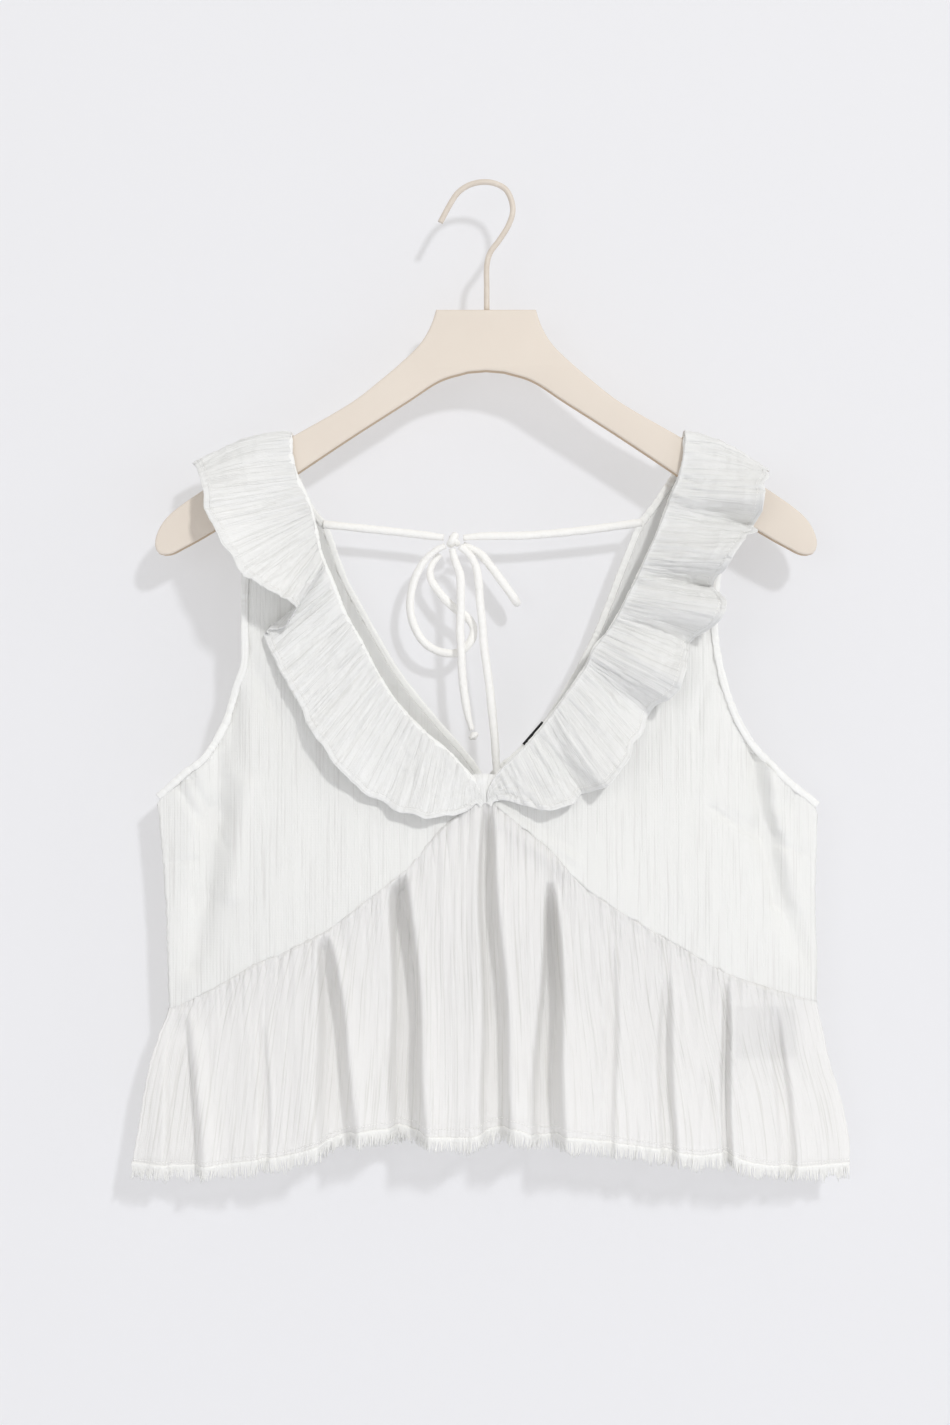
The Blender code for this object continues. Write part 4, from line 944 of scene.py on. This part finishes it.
hemColumn = -1 - max(2, int(3 * fine))   # the grid's column under the hem's stitches
ruffleGrids = {}
for side, word in bothSides:
    name = "ruffle_" + word
    grid, uv = rufflePoints(side)
    ruffleGrids[word] = grid
    clothPiece(name + "_gauze", grid, ruffleGauze, ruffles["thick"], [name], uv)
    edge = grid[:, -1]
    along = wayAlong(edge)
    inward = squareTo(along, grid[:, hemColumn] - edge)
    hemRun = np.arange(len(edge)) * 1.0
    wide = ruffles["hemWide"] * (1 + 0.12 * wobble(hemRun / 5, 77))
    thick = ruffles["hemThick"] * (1 + 0.35 * wobble(hemRun / 3, 78))
    tubePiece(name + "_hem", edge + inward * (ruffles["hemWide"] / 2 - 0.6), inward, np.cross(along, inward),
              wide, thick, ruffleGauze, sides=10, power=0.6)
print("ruffles made")


# ---- sewing that shows: one short thread per stitch

sewing = {"pitch": 2.6, "long": 1.9, "thick": 0.42, "proud": 0.1}
stitchThread = looseThread("sewingThread", "#FBFAF8")


def stitchRow(name, path, out):   # each stitch a small rounded bead of thread lying along the path
    count = int(lengthOf(path) / sewing["pitch"] * (1 if fine == 1 else 0.3))
    ends, at = np.linspace(0, 1, len(path)), np.linspace(0.002, 0.998, count)
    middle = readAt(at, ends, path)
    along = wayAlong(middle)
    away = squareTo(along, readAt(at, ends, out))
    side = np.cross(along, away)
    bm = bmesh.new()
    for k in range(count):
        turn = Matrix((along[k] * sewing["long"], side[k] * sewing["thick"], away[k] * sewing["thick"])).transposed()
        turn = (turn * mm).to_4x4()
        turn.translation = (middle[k] + away[k] * sewing["proud"]) * mm
        bmesh.ops.create_icosphere(bm, subdivisions=1, radius=0.5, matrix=turn)
    bmesh.ops.recalc_face_normals(bm, faces=bm.faces)
    return addPiece(name, meshFrom(bm, name), stitchThread)


for word, grid in ruffleGrids.items():
    normals = wayUp(grid, 10)[:, hemColumn]
    stitchRow("ruffle_" + word + "_stitches", grid[:, hemColumn] + normals * 0.45, normals)
for part, grid in skirtGrids.items():
    normals = wayOut(grid)
    if (normals[-6, :, 1].mean() < 0) == (part == "back"):
        normals = -normals
    row = np.argmin(np.abs(grid[:, 9, 2] - grid[-1, 9, 2] - skirts["stayStitch"]))
    stitchRow(part + "_stay_stitches", grid[row] + normals[row] * 0.5, normals[row])
print("stitches made")


# ---- bindings at the neck and armholes

bindings = {"step": 0.9, "puckerWide": 3.4, "puckerDeep": 0.95}


def bindingPiece(kind, side, nodeName, seed):
    middle = body["bindingWide"] / 2
    count = int(lengthOf(wholeEdge(kind, side, middle, 300)) / bindings["step"] * fine)
    line, inner = (wholeEdge(kind, side, middle + shift, count) for shift in (0, 1.5))
    along = wayAlong(line)
    across = squareTo(along, inner - line)
    out = np.cross(along, across)
    guide = line * (0, 1, 0) + np.array([0, 0, 1.0]) * np.clip(8.0 - np.abs(line[:, 1:2]), 0, 8)
    out *= np.sign(np.sum(out * guide, axis=1))[:, None]
    run = np.arange(count) * bindings["step"] / fine
    puckers = gathers(run, 0, bindings["puckerWide"], 40, seed)
    thick = body["bindingThick"] * (1 + bindings["puckerDeep"] * (0.25 + puckers))
    wide = body["bindingWide"] * (1.06 + 0.3 * (puckers + 0.2))
    line = line + out * (body["bindingOut"] + 0.25 * wobble(run / 3.0, seed + 2))[:, None]
    return tubePiece(nodeName + "_gauze", line, across, out, wide, thick, bindingGauze, [nodeName],
                     sides=14, power=0.75)


for side, word in bothSides:
    bindingPiece("neck", side, "neck_binding_" + word, 601 + side * 4)
    bindingPiece("armhole", side, "armhole_binding_" + word, 631 + side * 4)
print("bindings made")


def vTuck():   # the small drawn-up overlap that closes the neck under the V
    z = np.linspace(-391.5, -411, 26)[:, None]
    low, high = (np.interp(-z, -line[:, 1], line[:, 0])
                 for line in (smoothLine(sideOf(edges, "neckFront", s), 300) for s in (-1, 1)))
    u = np.linspace(0, 1, 30)[None, :]
    x = low - 3.5 + (high + 3.5 - (low - 3.5)) * u
    y = bodyDepth(x, z) + 0.9 + 1.2 * hump((u - 0.5) / 0.3)
    y = y + 1.3 * gathers(x, z, 3.2, 14, 761) - 2.2 * (1 - ramp(-391.5 - z, 0, 4))
    z = z + 1.6 * np.cos((u - 0.5) * math.pi) + 0 * x - 1.0
    clothPiece("neck_v_tuck", placed(x, y, z, False), ruffleGauze, 0.8)


vTuck()


# ---- labels

labels = {
    "neck_label": {"corner": (24.4, -371.6), "along": (13, 15), "down": (10.6, -9.2), "cloth": blackTape},
    "care_label": {"corner": (166, -546), "along": (40, 0), "down": (0, -35), "cloth": careTapeInShade},
}
for name, label in labels.items():
    u = np.linspace(0, 1, 22)[None, :, None]
    v = np.linspace(0, 1, 16)[:, None, None]
    flat = np.asarray(label["corner"]) + np.asarray(label["along"]) * u + np.asarray(label["down"]) * v
    x, z = flat[:, :, 0], flat[:, :, 1]
    y = bodyDepth(x, z, True) - 1.5 if name == "neck_label" else 0.6 + (x - 190) * 0.045
    y = y + 0.12 * np.sin(x / 4.0) * np.sin(z / 6.0)
    clothPiece(name + "_tape", np.stack([x, y, z], axis=2), label["cloth"], 0.5, [name])
print("labels made")


# ---- hanger: a flat board with eased edges, and its dipped wire hook

hanger = {
    "thick": 12.0, "ease": 1.6, "easeSteps": 4, "rimTurn": 32,
    "tip": [(218, -232), (219.4, -240), (216.8, -245.5), (210, -246.2), (200, -241.5)],
    "under": [(178.2, -229), (126.7, -193.4), (88, -167.5), (52, -144.5), (30, -130.5), (12, -125), (0, -124)],
    "wire": 3.8,
    "hook": [
        (0.5, -83.5), (0.5, -68), (0.6, -53.5), (2.6, -45.5), (9.2, -36.3), (15.2, -26.4), (17.8, -17.8),
        (16.9, -10.4), (13, -3), (6, 0.9), (-2, 1.9), (-10, 0.3), (-15.6, -2.7), (-19.8, -6.6), (-24.6, -14.2),
        (-30.4, -25.1),
    ],
}
# the board's rim faces take a darker beige-brown: painted shade on the edges, as on the underside seen from below
rimShadeCoat = coatedBoard("boardRimPaintedShade", "#CDB79C", "#BFA78A")


def hangerBoard():
    outline = body["armTop"][1:] + hanger["tip"] + hanger["under"][:-1]
    right = evenly(smoothLine(outline, 500), 150)
    right[0] = body["armTop"][1]
    ring = np.concatenate([right, [hanger["under"][-1]], right[::-1] * (-1, 1)])
    bm = bmesh.new()
    face = bm.faces.new([bm.verts.new((x * mm, -hanger["thick"] / 2 * mm, z * mm)) for x, z in ring])
    pushed = bmesh.ops.extrude_face_region(bm, geom=[face])
    moved = [v for v in pushed["geom"] if isinstance(v, bmesh.types.BMVert)]
    bmesh.ops.translate(bm, verts=moved, vec=(0, hanger["thick"] * mm, 0))
    bmesh.ops.recalc_face_normals(bm, faces=bm.faces)
    rims = [e for e in bm.edges if len(e.link_faces) == 2 and any(len(f.verts) > 8 for f in e.link_faces)]
    bmesh.ops.bevel(bm, geom=rims, offset=hanger["ease"] * mm, offset_type="OFFSET", segments=hanger["easeSteps"],
                    profile=0.5, affect="EDGES", material=-1)
    mesh = meshFrom(bm, "hanger_board")
    addPiece("hanger_board", mesh, boardCoat, ["hanger"])
    mesh.materials.append(rimShadeCoat)
    # faces that don't face front or back get the painted-shade rim coat
    for f in mesh.polygons:
        f.material_index = 1 if abs(f.normal.y) < 0.3 else 0
    mesh.set_sharp_from_angle(angle=math.radians(hanger["rimTurn"]))


def hangerHook():
    path = smoothLine([(x, 0, z) for x, z in hanger["hook"]], 150)
    tubePiece("hanger_hook_wire", path, *roundFrames(path), hanger["wire"], hanger["wire"], wireCoat, ["hanger_hook"],
              sides=18)


hangerBoard()
hangerHook()
print("hanger made")


# ---- what each sheet was cut to

cuts = {   # width and length in metres, then area where the cut isn't a rectangle
    "front_bodice": ((0.24, 0.39), 0.046), "back_bodice": ((0.23, 0.38), 0.058),
    "front_peplum": ((0.59, 0.245), 0.094), "back_peplum": ((0.56, 0.125), 0.063),
    "ruffle": ((0.78, 0.064), 0.047),
}
for word in ("left", "right"):
    for kind in ("front_bodice", "back_bodice"):
        flat, area = cuts[kind]
    flat, area = cuts["ruffle"]
for key, part in (("front_peplum", "front"), ("back_peplum", "back")):
    flat, area = cuts[key]


# ---- pale wall and floor, soft studio light

studio = {
    "wall": "#ECEEF5", "glowTone": "#F8F5F0", "wallAt": 0.037, "floorAt": -1.0, "reach": 3.0,
    "wallGlow": 0.45, "floorGlow": 0.1, "glowStrength": 0.86,   # keeps the shadows on it as pale as the photo's
    "key": {"place": (2.4, -5.6, 2.7), "size": 0.55, "power": 170.0},
    "fill": {"place": (-2.4, -5.4, 0.2), "size": 2.6, "power": 22.0},
    "rake": {"place": (5.4, -2.6, 0.6), "size": 1.2, "power": 12.0},
    "behind": {"place": (0.5, 3.2, 0.6), "size": 1.6, "power": 26.0},
    "sky": 0.61, "skyTone": "#FDFCFB", "aim": (0, 0, -0.35),
}


def paleSheet(name, place, turn, glow):
    made, tree, shader = newMaterial(name + "Paint", studio["wall"], Roughness=0.95, Specular_IOR_Level=0.1)
    paint = [c * (1 - glow) for c in linear(studio["wall"])[:3]]
    setSockets(tree, shader, {"Base Color": (*paint, 1.0), "Emission Color": linear(studio["glowTone"]),
                              "Emission Strength": glow * studio["glowStrength"]})
    seen = addNode(tree, "NewGeometry", "Backfacing")   # from behind, the stage is clear
    clear = addNode(tree, "BsdfTransparent", "BSDF")
    mix = addNode(tree, "MixShader", "Shader", {0: seen, 1: shader.outputs["BSDF"], 2: clear})
    setSockets(tree, tree.nodes["Material Output"], {"Surface": mix})
    bm = bmesh.new()
    bmesh.ops.create_grid(bm, x_segments=1, y_segments=1, size=studio["reach"])
    bmesh.ops.rotate(bm, verts=bm.verts, cent=(0, 0, 0), matrix=turn)
    bmesh.ops.translate(bm, verts=bm.verts, vec=place)
    mesh = meshFrom(bm, name)
    mesh.materials.append(made)
    sheet = intoScene(name, mesh)
    sheet.visible_shadow = False


def areaLight(name, light):
    data = bpy.data.lights.new(name, "AREA")
    data.shape = "DISK"
    data.size = light["size"]
    data.energy = light["power"]
    aim = np.subtract(studio["aim"], light["place"])
    turn = (math.acos(-aim[2] / np.linalg.norm(aim)), 0, math.atan2(aim[1], aim[0]) - math.pi / 2)
    intoScene(name, data, light["place"], turn)


paleSheet("backWall", (0, studio["wallAt"], 0), Matrix.Rotation(math.radians(90), 3, "X"), studio["wallGlow"])
paleSheet("paleFloor", (0, 0, studio["floorAt"]), Matrix.Identity(3), studio["floorGlow"])
for name in ("key", "fill", "rake", "behind"):
    areaLight(name + "Light", studio[name])
sky = bpy.data.worlds.new("paleSky")
sky.use_nodes = True
light = {"Color": linear(studio["skyTone"]), "Strength": studio["sky"]}
setSockets(sky.node_tree, sky.node_tree.nodes["Background"], light)
bpy.context.scene.world = sky
bpy.context.scene.view_settings.view_transform = "Standard"
print("stage made")
